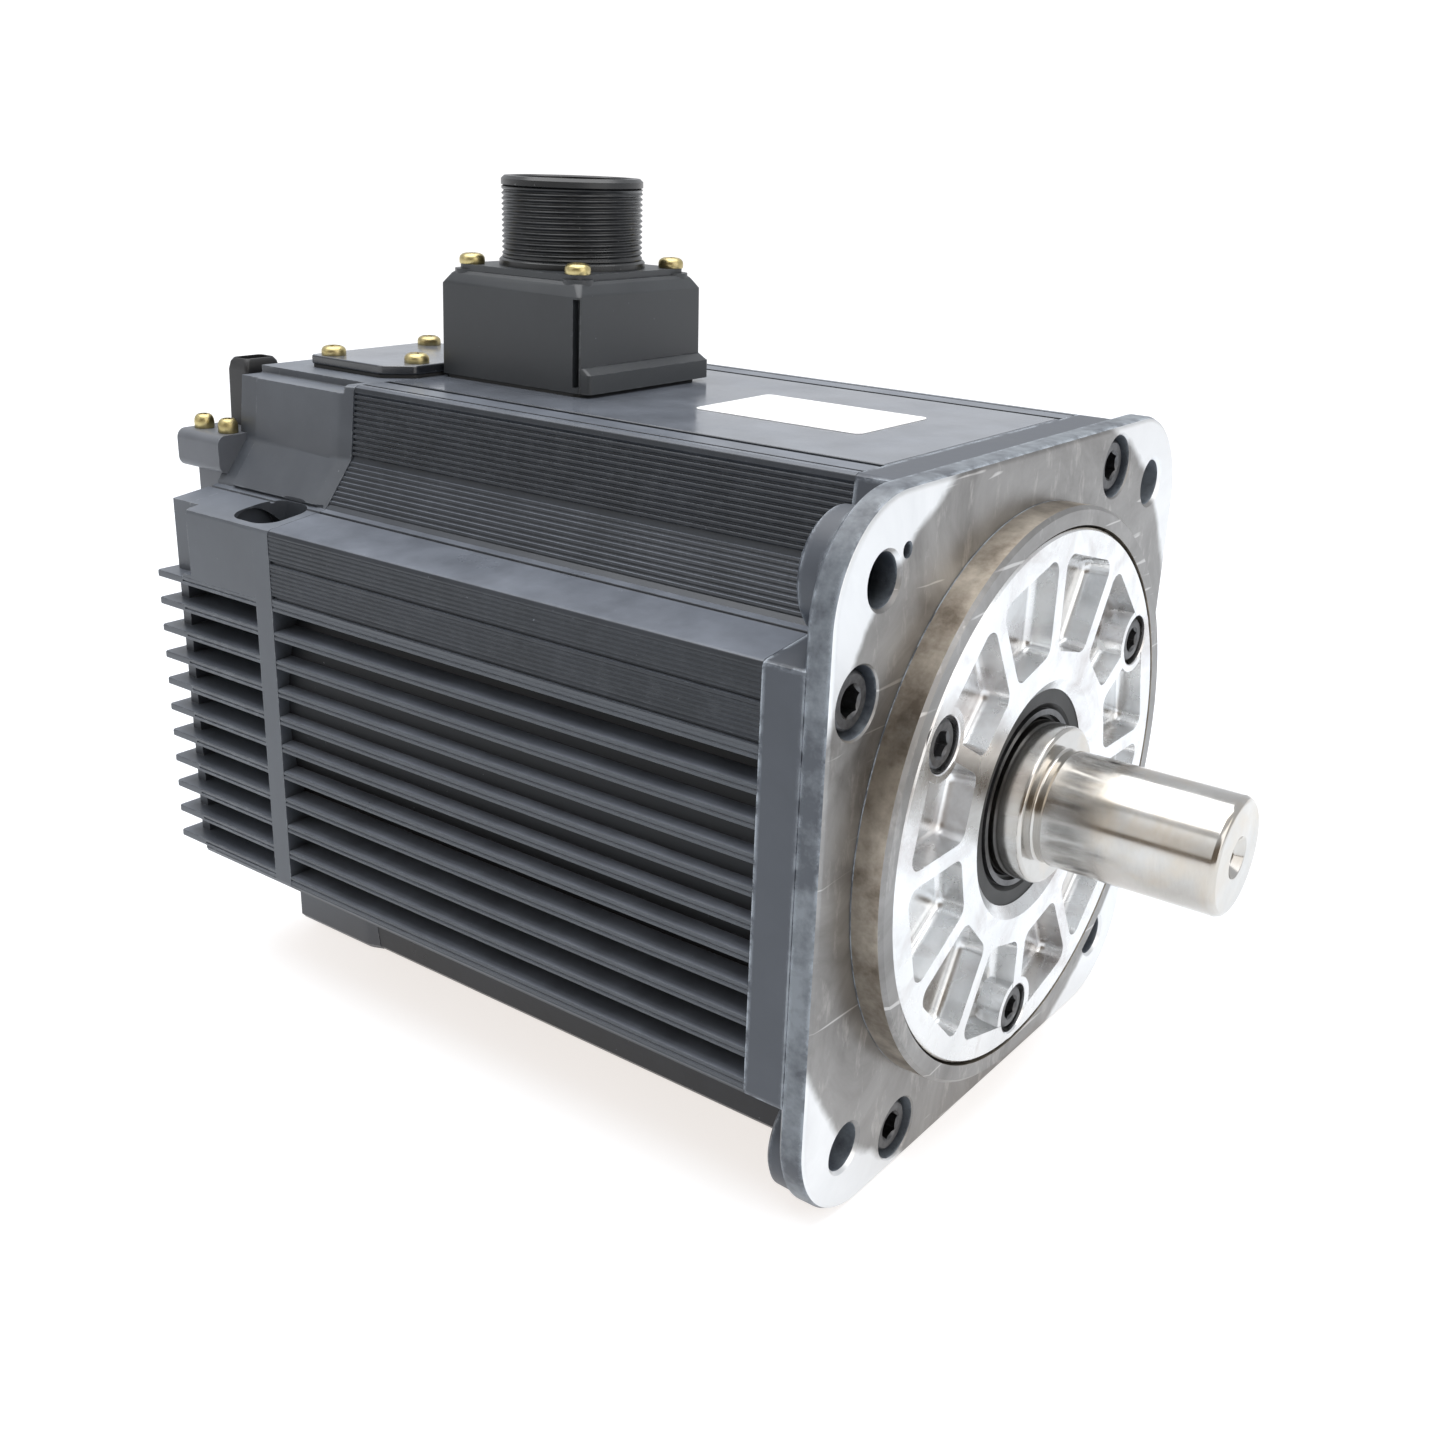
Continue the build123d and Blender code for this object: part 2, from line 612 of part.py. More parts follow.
# ---- encoder cover: closes the rear and carries the last stretch of fins ----
leads_spot = (-32.5, 36.5)
with BuildPart() as encoder_cover:
    with BuildSketch(Plane.YZ.offset(cover_rear)):
        with BuildLine():
            Polyline(*plus_outline(1.5), close=True)
        make_face()
    extrude(amount=rear_bracket_rear - cover_rear)
    with BuildSketch(Plane.YZ.offset(fin_rear)):
        Rectangle(2 * (side_y - 3.0), 62.0)
    extrude(amount=cover_rear - fin_rear)
    with BuildSketch(Plane.YZ.offset(fin_rear)):
        for k in range(fin_count):
            for side in (-1, 1):
                with Locations((side * 60.0, side * -(top_fin_z - fin_pitch * k))):
                    Rectangle(10.0, fin_thickness)
    extrude(amount=rear_bracket_rear - fin_rear)
    with BuildSketch(Plane.YZ.offset(fin_rear)):
        for k in range(fin_count):
            z = top_fin_z - fin_pitch * (k + 0.5)
            for side in (-1, 1):
                with Locations((side * 59.0, side * -z)):
                    Rectangle(28.0, fin_pitch - fin_thickness)
        Circle(fin_root_radius - 6.0, mode=Mode.SUBTRACT)
        with Locations(*tie_spots):
            Circle(9.4, mode=Mode.SUBTRACT)
    extrude(amount=rear_bracket_rear - fin_rear, mode=Mode.SUBTRACT)
    with BuildSketch(Plane.YZ.offset(cover_rear)):
        with Locations((0, -60.0)):
            Rectangle(100.0, 20.0)
        for side in (-1, 1):
            with Locations((side * 41.0, top_z)):
                Rectangle(8.0, 3.2)
    extrude(amount=rear_bracket_rear - cover_rear, mode=Mode.SUBTRACT)
    with BuildSketch(Plane.YZ.offset(rear_bracket_rear)):
        with Locations(*encoder_cover_spots):
            Circle(1.8)
    extrude(amount=-10.0, mode=Mode.SUBTRACT)
    with BuildSketch(Plane.YZ.offset(rear_bracket_rear)):
        with Locations(leads_spot):
            Rectangle(12.0, 5.0)
    extrude(amount=-10.0, mode=Mode.SUBTRACT)
save(encoder_cover, "encoder_cover")
encoder_cover_screws = cap_screws(
    encoder_cover_spots, cover_rear, 3.0, 2.4, 1.5, 9.0, facing=-1)
save(encoder_cover_screws, "encoder_cover_screws")

# ---- encoder connector block on the rear face ---------------------------------
block_y = -32.5
block_bottom = 43.0
block_top = 51.0
socket_x = -172.4
socket_y = -34.0
socket_length = 6.8
socket_width = 9.4
socket_top = 65.3
block_screw_spots = [(x, y) for x in (-175.0, -166.8) for y in (-46.0, -19.0)]
with BuildPart() as encoder_connector_block:
    with BuildSketch(Plane.XY.offset(block_bottom)):
        with Locations((-171.0, block_y)):
            Rectangle(14.0, 37.0)
    extrude(amount=block_top - block_bottom)
    fillet(encoder_connector_block.edges().filter_by(Axis.Y).sort_by(Axis.X)[:2], 2.5)
    # narrower neck that stands on the cover below the block
    with BuildSketch(Plane.XY.offset(32.5)):
        with Locations((-169.0, block_y)):
            Rectangle(10.0, 33.0)
    extrude(amount=block_bottom - 32.5)
    with BuildSketch(Plane.XY.offset(block_top)):
        with Locations((socket_x, socket_y)):
            Rectangle(socket_length + 0.2, socket_width + 0.2)
    extrude(amount=-6.0, mode=Mode.SUBTRACT)
    with BuildSketch(Plane.XY.offset(block_top)):
        with Locations(*block_screw_spots):
            Circle(1.5 + thread_clearance)
    extrude(amount=-6.5, mode=Mode.SUBTRACT)
    with BuildSketch(Plane.YZ.offset(cover_rear)):
        with Locations(leads_spot):
            Rectangle(12.0, 5.0)
    extrude(amount=-7.0, mode=Mode.SUBTRACT)
save(encoder_connector_block, "encoder_connector_block")
save(pan_screws(block_screw_spots, block_top, 2.1, 3.0, 1.5, 6.0), "encoder_connector_screws")

with BuildPart() as encoder_socket:
    with BuildSketch(Plane.XY.offset(block_top - 6.0)):
        with Locations((socket_x, socket_y)):
            Rectangle(socket_length, socket_width)
    extrude(amount=socket_top - block_top + 6.0)
    with BuildSketch(Plane.XY.offset(socket_top)):
        with Locations((socket_x, socket_y)):
            Rectangle(socket_length - 1.8, socket_width - 1.8)
    extrude(amount=-14.0, mode=Mode.SUBTRACT)
save(encoder_socket, "encoder_socket")
with BuildPart() as encoder_pins:
    with BuildSketch(Plane.XY.offset(socket_top - 14.0)):
        with Locations((socket_x, socket_y)):
            with GridLocations(2.0, 1.8, 2, 4):
                Rectangle(0.7, 0.7)
    extrude(amount=9.0)
save(encoder_pins, "encoder_pins")

with BuildPart() as encoder_leads:
    for k in range(4):
        y_board = -22.0 - 2.0 * k
        y_block = block_y + 2.4 * (1.5 - k)
        with BuildLine() as route:
            FilletPolyline(
                (-153.6, y_board, 24.0), (-157.8, y_board, 24.0),
                (-157.8, y_block, leads_spot[1]), (-170.5, y_block, leads_spot[1]), radius=1.6)
        with BuildSketch(Plane(origin=route.line @ 0, z_dir=route.line % 0)):
            Circle(0.6)
        sweep()
save(encoder_leads, "encoder_leads")

# ---- access plate over the wiring opening ---------------------------------------
plate_rear = -157.5
plate_front = -130.0
plate_near = -31.0
plate_far = 4.0
plate_corner_cut = 5.0


def plate_outline():
    """Rectangle whose near front corner is cut off, in X and Y."""
    return [
        (plate_rear, plate_near),
        (plate_front - plate_corner_cut, plate_near),
        (plate_front, plate_near + plate_corner_cut),
        (plate_front, plate_far),
        (plate_rear, plate_far),
    ]


with BuildPart() as access_gasket:
    with BuildSketch(Plane.XY.offset(top_z)):
        with BuildLine():
            Polyline(*plate_outline(), close=True)
        make_face()
        with Locations((wiring_x, wiring_y)):
            Rectangle(wiring_length, wiring_width, mode=Mode.SUBTRACT)
        with Locations(*plate_spots):
            Circle(1.8, mode=Mode.SUBTRACT)
    extrude(amount=0.8)
save(access_gasket, "access_gasket")
with BuildPart() as access_plate:
    with BuildSketch(Plane.XY.offset(top_z + 0.8)):
        with BuildLine():
            Polyline(*plate_outline(), close=True)
        make_face()
        with Locations(*plate_spots):
            Circle(1.8, mode=Mode.SUBTRACT)
    extrude(amount=1.8)
save(access_plate, "access_plate")
save(pan_screws(plate_spots, top_z + 2.6, 2.6, 2.0, 1.5, 7.6), "access_plate_screws")

# ---- power connector box -----------------------------------------------------------
box_half = 19.3
box_length = 38.4
box_wall = 2.0
with BuildPart() as box_gasket:
    with BuildSketch(Plane.XY.offset(top_z)):
        with Locations((box_x, 0)):
            RectangleRounded(36.6, 2 * box_half - 0.4, 1.5)
            Circle(10.0, mode=Mode.SUBTRACT)
            with GridLocations(24.0, 24.0, 2, 2):
                Circle(1.8, mode=Mode.SUBTRACT)
    extrude(amount=box_floor - top_z)
save(box_gasket, "box_gasket")

with BuildPart() as connector_box:
    with BuildSketch(Plane.XY.offset(box_floor)):
        with Locations((box_x, 0)):
            Rectangle(box_length, 2 * box_half)
    extrude(amount=box_shoulder - box_floor)
    # low ledge towards the shaft end
    with BuildSketch(Plane.XY.offset(box_floor)):
        with Locations((box_x + 19.9, 0)):
            Rectangle(3.4, 2 * box_half)
    extrude(amount=4.0)
    with BuildSketch(Plane.XY.offset(box_shoulder)):
        with Locations((box_x, 0)):
            Rectangle(box_length, 2 * box_half)
    extrude(amount=box_top - box_shoulder, taper=26)
    with BuildSketch(Plane.XY.offset(box_floor + 2.5)):
        with Locations((box_x, 0)):
            RectangleRounded(box_length - 2 * box_wall, 2 * box_half - 2 * box_wall, 1.0)
    extrude(amount=15.0, mode=Mode.SUBTRACT)
    with BuildSketch(Plane.XY.offset(box_floor)):
        with Locations((box_x, 0)):
            Circle(9.0)
    extrude(amount=4.0, mode=Mode.SUBTRACT)
    with BuildSketch(Plane.XY.offset(box_floor)):
        with Locations((box_x, 0)):
            with GridLocations(24.0, 24.0, 2, 2):
                Circle(1.7)
    extrude(amount=4.0, mode=Mode.SUBTRACT)
    with BuildSketch(Plane.XY.offset(box_top)):
        with Locations((box_x, 0)):
            Circle(13.0)
            with GridLocations(29.0, 29.0, 2, 2):
                Circle(1.5 + thread_clearance)
    extrude(amount=-8.0, mode=Mode.SUBTRACT)
save(connector_box, "connector_box")

box_screw_spots = [(box_x + dx, dy) for dx in (-12.0, 12.0) for dy in (-12.0, 12.0)]
save(pan_screws(box_screw_spots, box_floor + 2.5, 2.8, 2.0, 1.5, 7.0), "box_screws")

# ---- threaded power connector on the box ---------------------------------------------
shell_radius = 14.3
shell_top = 104.9
collar_top = 89.2
with BuildPart() as connector_shell:
    with BuildSketch(Plane.XY.offset(box_top)):
        with Locations((box_x, 0)):
            RectangleRounded(33.0, 34.0, 2.0)
            with GridLocations(29.0, 29.0, 2, 2):
                Circle(1.7, mode=Mode.SUBTRACT)
    extrude(amount=1.4)
    with BuildSketch(Plane.XY.offset(box_top - 6.0)):
        with Locations((box_x, 0)):
            Circle(12.9)
    extrude(amount=6.0)
    with BuildSketch(Plane.XY.offset(box_top + 1.4)):
        with Locations((box_x, 0)):
            Circle(15.0)
    extrude(amount=collar_top - box_top - 1.4)
    with BuildSketch(Plane.XY.offset(collar_top)):
        with Locations((box_x, 0)):
            Circle(shell_radius)
    extrude(amount=shell_top - collar_top)
    chamfer(connector_shell.faces().sort_by(Axis.Z)[-1].edges(), 0.5)
    with BuildSketch(Plane.XY.offset(shell_top)):
        with Locations((box_x, 0)):
            Circle(12.2)
    extrude(amount=-12.0, mode=Mode.SUBTRACT)
    with BuildSketch(Plane.XY.offset(shell_top)):
        with Locations((box_x, 0)):
            Circle(10.6)
    extrude(amount=-32.0, mode=Mode.SUBTRACT)
save(connector_shell, "connector_shell")
shell_spots = [(box_x + dx, dy) for dx in (-14.5, 14.5) for dy in (-14.5, 14.5)]
save(pan_screws(shell_spots, box_top + 1.4, 2.6, 2.0, 1.5, 4.4), "connector_screws")

pin_circle = 6.2
with BuildPart() as connector_insert:
    with BuildSketch(Plane.XY.offset(80.6)):
        with Locations((box_x, 0)):
            Circle(10.5)
            with PolarLocations(pin_circle, 4, 45):
                Circle(1.4, mode=Mode.SUBTRACT)
    extrude(amount=15.4)
save(connector_insert, "connector_insert")
with BuildPart() as connector_pins:
    with BuildSketch(Plane.XY.offset(77.0)):
        with Locations((box_x, 0)):
            with PolarLocations(pin_circle, 4, 45):
                Circle(1.35)
    extrude(amount=24.0)
    fillet(connector_pins.faces().sort_by(Axis.Z)[-4:].edges(), 0.6)
save(connector_pins, "connector_pins")

# power leads run straight down from the pins, through the frame's opening
with BuildPart() as power_leads:
    with BuildSketch(Plane.XY.offset(50.5)):
        with Locations((box_x, 0)):
            with PolarLocations(pin_circle, 4, 45):
                Circle(1.6)
    extrude(amount=77.0 - 50.5)
save(power_leads, "power_leads")

# blank rating label on the flat top
with BuildPart() as rating_label:
    with BuildSketch(Plane.XY.offset(top_z)):
        with Locations((-49.2, 0.5)):
            RectangleRounded(37.6, 25.0, 1.5)
    extrude(amount=0.25)
save(rating_label, "rating_label")
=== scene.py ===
"""Looks of the servo motor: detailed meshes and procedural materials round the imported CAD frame.

Lengths in the helpers are millimetres in the part's own frame; MM turns them into metres.
"""
import math

import bmesh
import bpy
from mathutils import Matrix, Vector


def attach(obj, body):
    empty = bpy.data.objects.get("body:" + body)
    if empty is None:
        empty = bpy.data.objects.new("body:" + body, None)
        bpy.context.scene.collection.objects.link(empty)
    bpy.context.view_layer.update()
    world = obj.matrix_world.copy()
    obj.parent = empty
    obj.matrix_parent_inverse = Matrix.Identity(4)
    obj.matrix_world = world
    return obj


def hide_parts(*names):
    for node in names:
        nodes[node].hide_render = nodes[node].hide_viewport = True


MM = 0.001
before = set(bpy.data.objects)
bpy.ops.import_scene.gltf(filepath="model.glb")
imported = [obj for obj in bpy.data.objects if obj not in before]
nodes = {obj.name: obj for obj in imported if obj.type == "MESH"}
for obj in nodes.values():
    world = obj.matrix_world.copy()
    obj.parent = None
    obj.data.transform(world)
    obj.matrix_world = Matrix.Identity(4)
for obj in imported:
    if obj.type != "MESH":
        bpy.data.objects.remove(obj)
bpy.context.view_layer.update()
HOUSING = "motor_housing"
ROTOR = "rotor"

# ---- sizes shared by several pieces (mm) ----
side_u = 65.0  # half the body's width
top_z = 64.5
bottom_z = -63.0
fin_pitch = 6.0
top_fin_z = 23.5
fin_count = 11
fin_root_radius = 62.5  # the slots between the fins end on this radius
frame_front = -12.5
frame_rear = -131.0
rim_rear = -136.0
bracket_rear = -160.0
cover_back = -165.8
fin_rear = -168.4
box_x = -109.9  # middle of the power connector along the shaft
box_seat = 65.3  # top of the gasket under the power connector box
axis_radius = 0.01  # closes a turned solid at its own axis
tie_spots = [(-57.0, 33.0), (33.0, 57.0), (57.0, -33.0), (-33.0, -57.0)]
corner_reach = 51.265
corner_spots = [(a * corner_reach, b * corner_reach) for a in (-1, 1) for b in (-1, 1)]


# ---- mesh helpers ----
def mesh_object(name, verts, faces):
    """A new mesh object from points in millimetres."""
    mesh = bpy.data.meshes.new(name)
    mesh.from_pydata([(x * MM, y * MM, z * MM) for x, y, z in verts], [], faces)
    mesh.validate()
    bm = bmesh.new()
    bm.from_mesh(mesh)
    bmesh.ops.remove_doubles(bm, verts=bm.verts, dist=1e-7)
    bmesh.ops.recalc_face_normals(bm, faces=bm.faces)
    bm.to_mesh(mesh)
    bm.free()
    obj = bpy.data.objects.new(name, mesh)
    bpy.context.scene.collection.objects.link(obj)
    return obj


def loft(name, rings, caps=True):
    """Skins a list of closed rings that all have the same number of points."""
    count = len(rings[0])
    verts = [p for ring in rings for p in ring]
    faces = []
    for level in range(len(rings) - 1):
        low = level * count
        high = low + count
        for i in range(count):
            j = (i + 1) % count
            faces.append((low + i, low + j, high + j, high + i))
    if caps:
        faces.append(tuple(range(count)))
        faces.append(tuple((len(rings) - 1) * count + i for i in range(count)))
    return mesh_object(name, verts, faces)


def prism(name, outline, x0, x1):
    """Extrudes a closed (Y, Z) outline along X."""
    return loft(name, [[(x0, y, z) for y, z in outline], [(x1, y, z) for y, z in outline]])


def slab(name, outline, z0, z1):
    """Extrudes a closed (X, Y) outline along Z."""
    return loft(name, [[(x, y, z0) for x, y in outline], [(x, y, z1) for x, y in outline]])


def lathe(name, profile, axis="X", centre=(0.0, 0.0), steps=96):
    """Turns a closed (along, radius) profile round an axis parallel to X or Z."""
    rings = []
    for along, radius in profile:
        ring = []
        for i in range(steps):
            angle = 2 * math.pi * i / steps
            first = centre[0] + radius * math.cos(angle)
            second = centre[1] + radius * math.sin(angle)
            ring.append((along, first, second) if axis == "X" else (first, second, along))
        rings.append(ring)
    rings.append(rings[0])
    return loft(name, rings, caps=False)


def turned_solid(name, wall, **placing):
    """Turns a solid from its outer wall alone, closing both ends at the axis."""
    first = (wall[0][0], axis_radius)
    last = (wall[-1][0], axis_radius)
    return lathe(name, [first, *wall, last], **placing)


def arc(cx, cy, radius, start, end, steps):
    """Points on an arc, angles in degrees."""
    points = []
    for i in range(steps + 1):
        a = math.radians(start + (end - start) * i / steps)
        points.append((cx + radius * math.cos(a), cy + radius * math.sin(a)))
    return points


def rounded_rectangle(cx, cy, width, height, radius, steps=8):
    hx = width / 2 - radius
    hy = height / 2 - radius
    points = []
    for sx, sy, start in ((1, 1, 0), (-1, 1, 90), (-1, -1, 180), (1, -1, 270)):
        points += arc(cx + sx * hx, cy + sy * hy, radius, start, start + 90, steps)
    return points


def circle(cx, cy, radius, steps=64):
    return arc(cx, cy, radius, 0, 360 - 360 / steps, steps - 1)


def apply_modifiers(obj):
    graph = bpy.context.evaluated_depsgraph_get()
    mesh = bpy.data.meshes.new_from_object(obj.evaluated_get(graph))
    obj.modifiers.clear()
    obj.data = mesh


def boolean(obj, others, operation):
    for other in others:
        step = obj.modifiers.new("step", "BOOLEAN")
        step.operation = operation
        step.solver = "EXACT"
        step.object = other
    apply_modifiers(obj)
    for other in others:
        bpy.data.objects.remove(other)
    return obj


def cut(obj, *others):
    return boolean(obj, others, "DIFFERENCE")


def merge(obj, *others):
    return boolean(obj, others, "UNION")


def soften(obj, width, segments=2, angle=32):
    """Rounds every sharp edge a little and shades smoothly across the rest."""
    bevel = obj.modifiers.new("edges", "BEVEL")
    bevel.width = width * MM
    bevel.segments = segments
    bevel.limit_method = "ANGLE"
    bevel.angle_limit = math.radians(angle)
    bevel.use_clamp_overlap = True
    bevel.harden_normals = False
    smooth(obj)
    weighted = obj.modifiers.new("normals", "WEIGHTED_NORMAL")
    weighted.keep_sharp = True
    return obj


def smooth(obj, angle=38):
    obj.data.shade_smooth()
    obj.data.set_sharp_from_angle(angle=math.radians(angle))
    return obj


def dress(obj, material, body, slot_name, *replaced):
    obj.data.materials.clear()
    obj.data.materials.append(material)
    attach(obj, body)
    if replaced:
        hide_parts(*replaced)
    return obj


# ---- material helpers ----
def math_node(tree, operation, first, second=0.0):
    """Output of a Math node fed with numbers or with other nodes' outputs."""
    made = tree.nodes.new("ShaderNodeMath")
    made.operation = operation
    for index, value in enumerate((first, second)):
        if isinstance(value, (int, float)):
            made.inputs[index].default_value = value
        else:
            tree.links.new(value, made.inputs[index])
    return made.outputs[0]


class Surface:
    """A Principled material with short calls for the procedural nodes it needs."""

    def __init__(self, name, **settings):
        self.material = bpy.data.materials.new(name)
        self.material.use_nodes = True
        self.tree = self.material.node_tree
        self.shader = self.tree.nodes["Principled BSDF"]
        self.coord = self.tree.nodes.new("ShaderNodeTexCoord")
        for key, value in settings.items():
            self.shader.inputs[key.replace("_", " ")].default_value = value

    def node(self, kind, **inputs):
        made = self.tree.nodes.new(kind)
        for key, value in inputs.items():
            made.inputs[key].default_value = value
        return made

    def link(self, source, target):
        self.tree.links.new(source, target)

    def noise(self, scale, detail=4.0, roughness=0.55, stretch=None, distortion=0.0):
        made = self.node("ShaderNodeTexNoise", Scale=scale, Detail=detail, Roughness=roughness,
                         Distortion=distortion)
        source = self.coord.outputs["Object"]
        if stretch:
            mapping = self.node("ShaderNodeMapping")
            mapping.inputs["Scale"].default_value = stretch
            self.link(source, mapping.inputs["Vector"])
            source = mapping.outputs["Vector"]
        self.link(source, made.inputs["Vector"])
        return made.outputs["Fac"]

    def ramp(self, source, *stops):
        """Maps a value through (position, colour or grey) stops."""
        made = self.tree.nodes.new("ShaderNodeValToRGB")
        elements = made.color_ramp.elements
        while len(elements) < len(stops):
            elements.new(0.5)
        for element, (place, value) in zip(elements, stops):
            element.position = place
            colour = value if isinstance(value, tuple) else (value, value, value)
            element.color = (*colour, 1.0)
        self.link(source, made.inputs["Fac"])
        return made.outputs["Color"]

    def mix(self, factor, first, second):
        made = self.tree.nodes.new("ShaderNodeMix")
        made.data_type = "RGBA"
        for value, key in ((factor, "Factor"), (first, "A"), (second, "B")):
            socket = next(s for s in made.inputs if s.name == key and s.enabled)
            if isinstance(value, (int, float)):
                socket.default_value = value
            elif isinstance(value, tuple):
                socket.default_value = (*value, 1.0)
            else:
                self.link(value, socket)
        return next(s for s in made.outputs if s.enabled)

    def math(self, operation, first, second=0.0):
        return math_node(self.tree, operation, first, second)

    def split(self, vector):
        made = self.tree.nodes.new("ShaderNodeSeparateXYZ")
        self.link(vector, made.inputs[0])
        return made.outputs

    def facing(self, axis):
        """1 on faces that look along the named axis."""
        geometry = self.tree.nodes.new("ShaderNodeNewGeometry")
        return self.split(geometry.outputs["Normal"])[axis]

    def edge(self, radius):
        """1 along convex or concave edges, 0 on flats."""
        bevel = self.node("ShaderNodeBevel", Radius=radius * MM)
        bevel.samples = 4
        geometry = self.tree.nodes.new("ShaderNodeNewGeometry")
        dot = self.tree.nodes.new("ShaderNodeVectorMath")
        dot.operation = "DOT_PRODUCT"
        self.link(bevel.outputs[0], dot.inputs[0])
        self.link(geometry.outputs["Normal"], dot.inputs[1])
        return self.math("SUBTRACT", 1.0, dot.outputs["Value"])

    def bump(self, height, strength, distance):
        made = self.node("ShaderNodeBump", Strength=strength, Distance=distance * MM)
        self.link(height, made.inputs["Height"])
        self.link(made.outputs["Normal"], self.shader.inputs["Normal"])

    def colour(self, source):
        self.link(source, self.shader.inputs["Base Color"])

    def rough(self, source):
        self.link(source, self.shader.inputs["Roughness"])

    def metal(self, source):
        self.link(source, self.shader.inputs["Metallic"])


dust_grey = (0.42, 0.45, 0.50)
chipped_grey = (0.42, 0.45, 0.48)
# Lighter grey painted on faces that look up: painted top light.
top_light_grey = (0.30, 0.33, 0.39)
# Lighter grey painted on the fin tips: a painted highlight.
fin_tip_highlight = (0.060, 0.067, 0.078)
# Near-black painted shade for the slots between the fins.
slot_painted_shade = (0.0012, 0.0014, 0.0018)


def fin_zones(s):
    """Masks for the painted highlight on the fins' tips and for the painted shade in the slots between them,
    which darkens towards the bottom.
    """
    fins_below_axis = 0.0065
    fins_half_height = 0.0315
    tips_from = 0.0644
    slots_up_to = 0.0641
    place = s.split(s.coord.outputs["Object"])
    reach = s.math("ABSOLUTE", place["Y"])
    from_middle = s.math("ABSOLUTE", s.math("ADD", place["Z"], fins_below_axis))
    between = s.math("LESS_THAN", from_middle, fins_half_height)
    tip_highlight = s.math("MULTIPLY", between, s.math("GREATER_THAN", reach, tips_from))
    slot = s.math("MULTIPLY", between, s.math("LESS_THAN", reach, slots_up_to))
    # The slots' painted shade grows darker towards the bottom.
    lowness = s.math("ADD", s.math("MULTIPLY", place["Z"], -12.0), 0.5)
    depth = s.ramp(lowness, (0.35, 0.35), (0.70, 0.95))
    return tip_highlight, s.math("MULTIPLY", slot, depth)


def painted(name, base, light, roughness, dust=0.5, wear=0.6, gloss=0.55, top_light_strength=0.0, finned=False):
    """Semi-gloss paint: soft mottling, dust specks, chips on edges, painted light on faces that look up;
    with finned, a painted highlight on the fin tips and painted shade in the slots.
    """
    s = Surface(name, Metallic=0.0, Roughness=roughness)
    s.shader.inputs["Specular IOR Level"].default_value = gloss
    mottle = s.noise(60.0, 5.0, 0.6)
    body = s.mix(s.ramp(mottle, (0.35, 0.0), (0.75, 1.0)), base, light)
    shade = s.ramp(mottle, (0.3, roughness - 0.06), (0.7, roughness + 0.08))
    if finned:
        tip_highlight, slot = fin_zones(s)
        # Painted highlight on the fin tips.
        body = s.mix(tip_highlight, body, fin_tip_highlight)
        # Painted shade in the slots between the fins.
        body = s.mix(slot, body, slot_painted_shade)
        shade = s.mix(slot, shade, (0.8, 0.8, 0.8))
    if top_light_strength:
        # Painted top light: faces that look up are made lighter, broken up by noise.
        upward = s.ramp(s.facing("Z"), (0.75, 0.0), (0.98, 1.0))
        top_light = s.math("MULTIPLY", upward, s.ramp(s.noise(90.0, 4.0, 0.6), (0.25, 0.55), (0.7, 1.0)))
        body = s.mix(s.math("MULTIPLY", top_light, top_light_strength), body, top_light_grey)
    specks = s.noise(1500.0, 2.0, 0.5)
    patch = s.noise(35.0, 3.0, 0.6)
    speck_mask = s.math("MULTIPLY", s.ramp(specks, (0.74, 0.0), (0.80, 1.0)),
                        s.ramp(patch, (0.42, 0.0), (0.68, 1.0)))
    dusty = s.mix(s.math("MULTIPLY", speck_mask, dust), body, dust_grey)
    breakup = s.noise(420.0, 4.0, 0.65)
    edge = s.math("MULTIPLY", s.edge(0.5), 5.0)
    worn = s.math("MULTIPLY", s.ramp(edge, (0.25, 0.0), (0.75, 1.0)),
                  s.ramp(breakup, (0.48, 0.0), (0.62, 1.0)))
    worn = s.math("MULTIPLY", worn, wear)
    s.colour(s.mix(worn, dusty, chipped_grey))
    s.rough(shade)
    s.bump(s.noise(700.0, 3.0, 0.5), 0.25, 0.05)
    return s.material


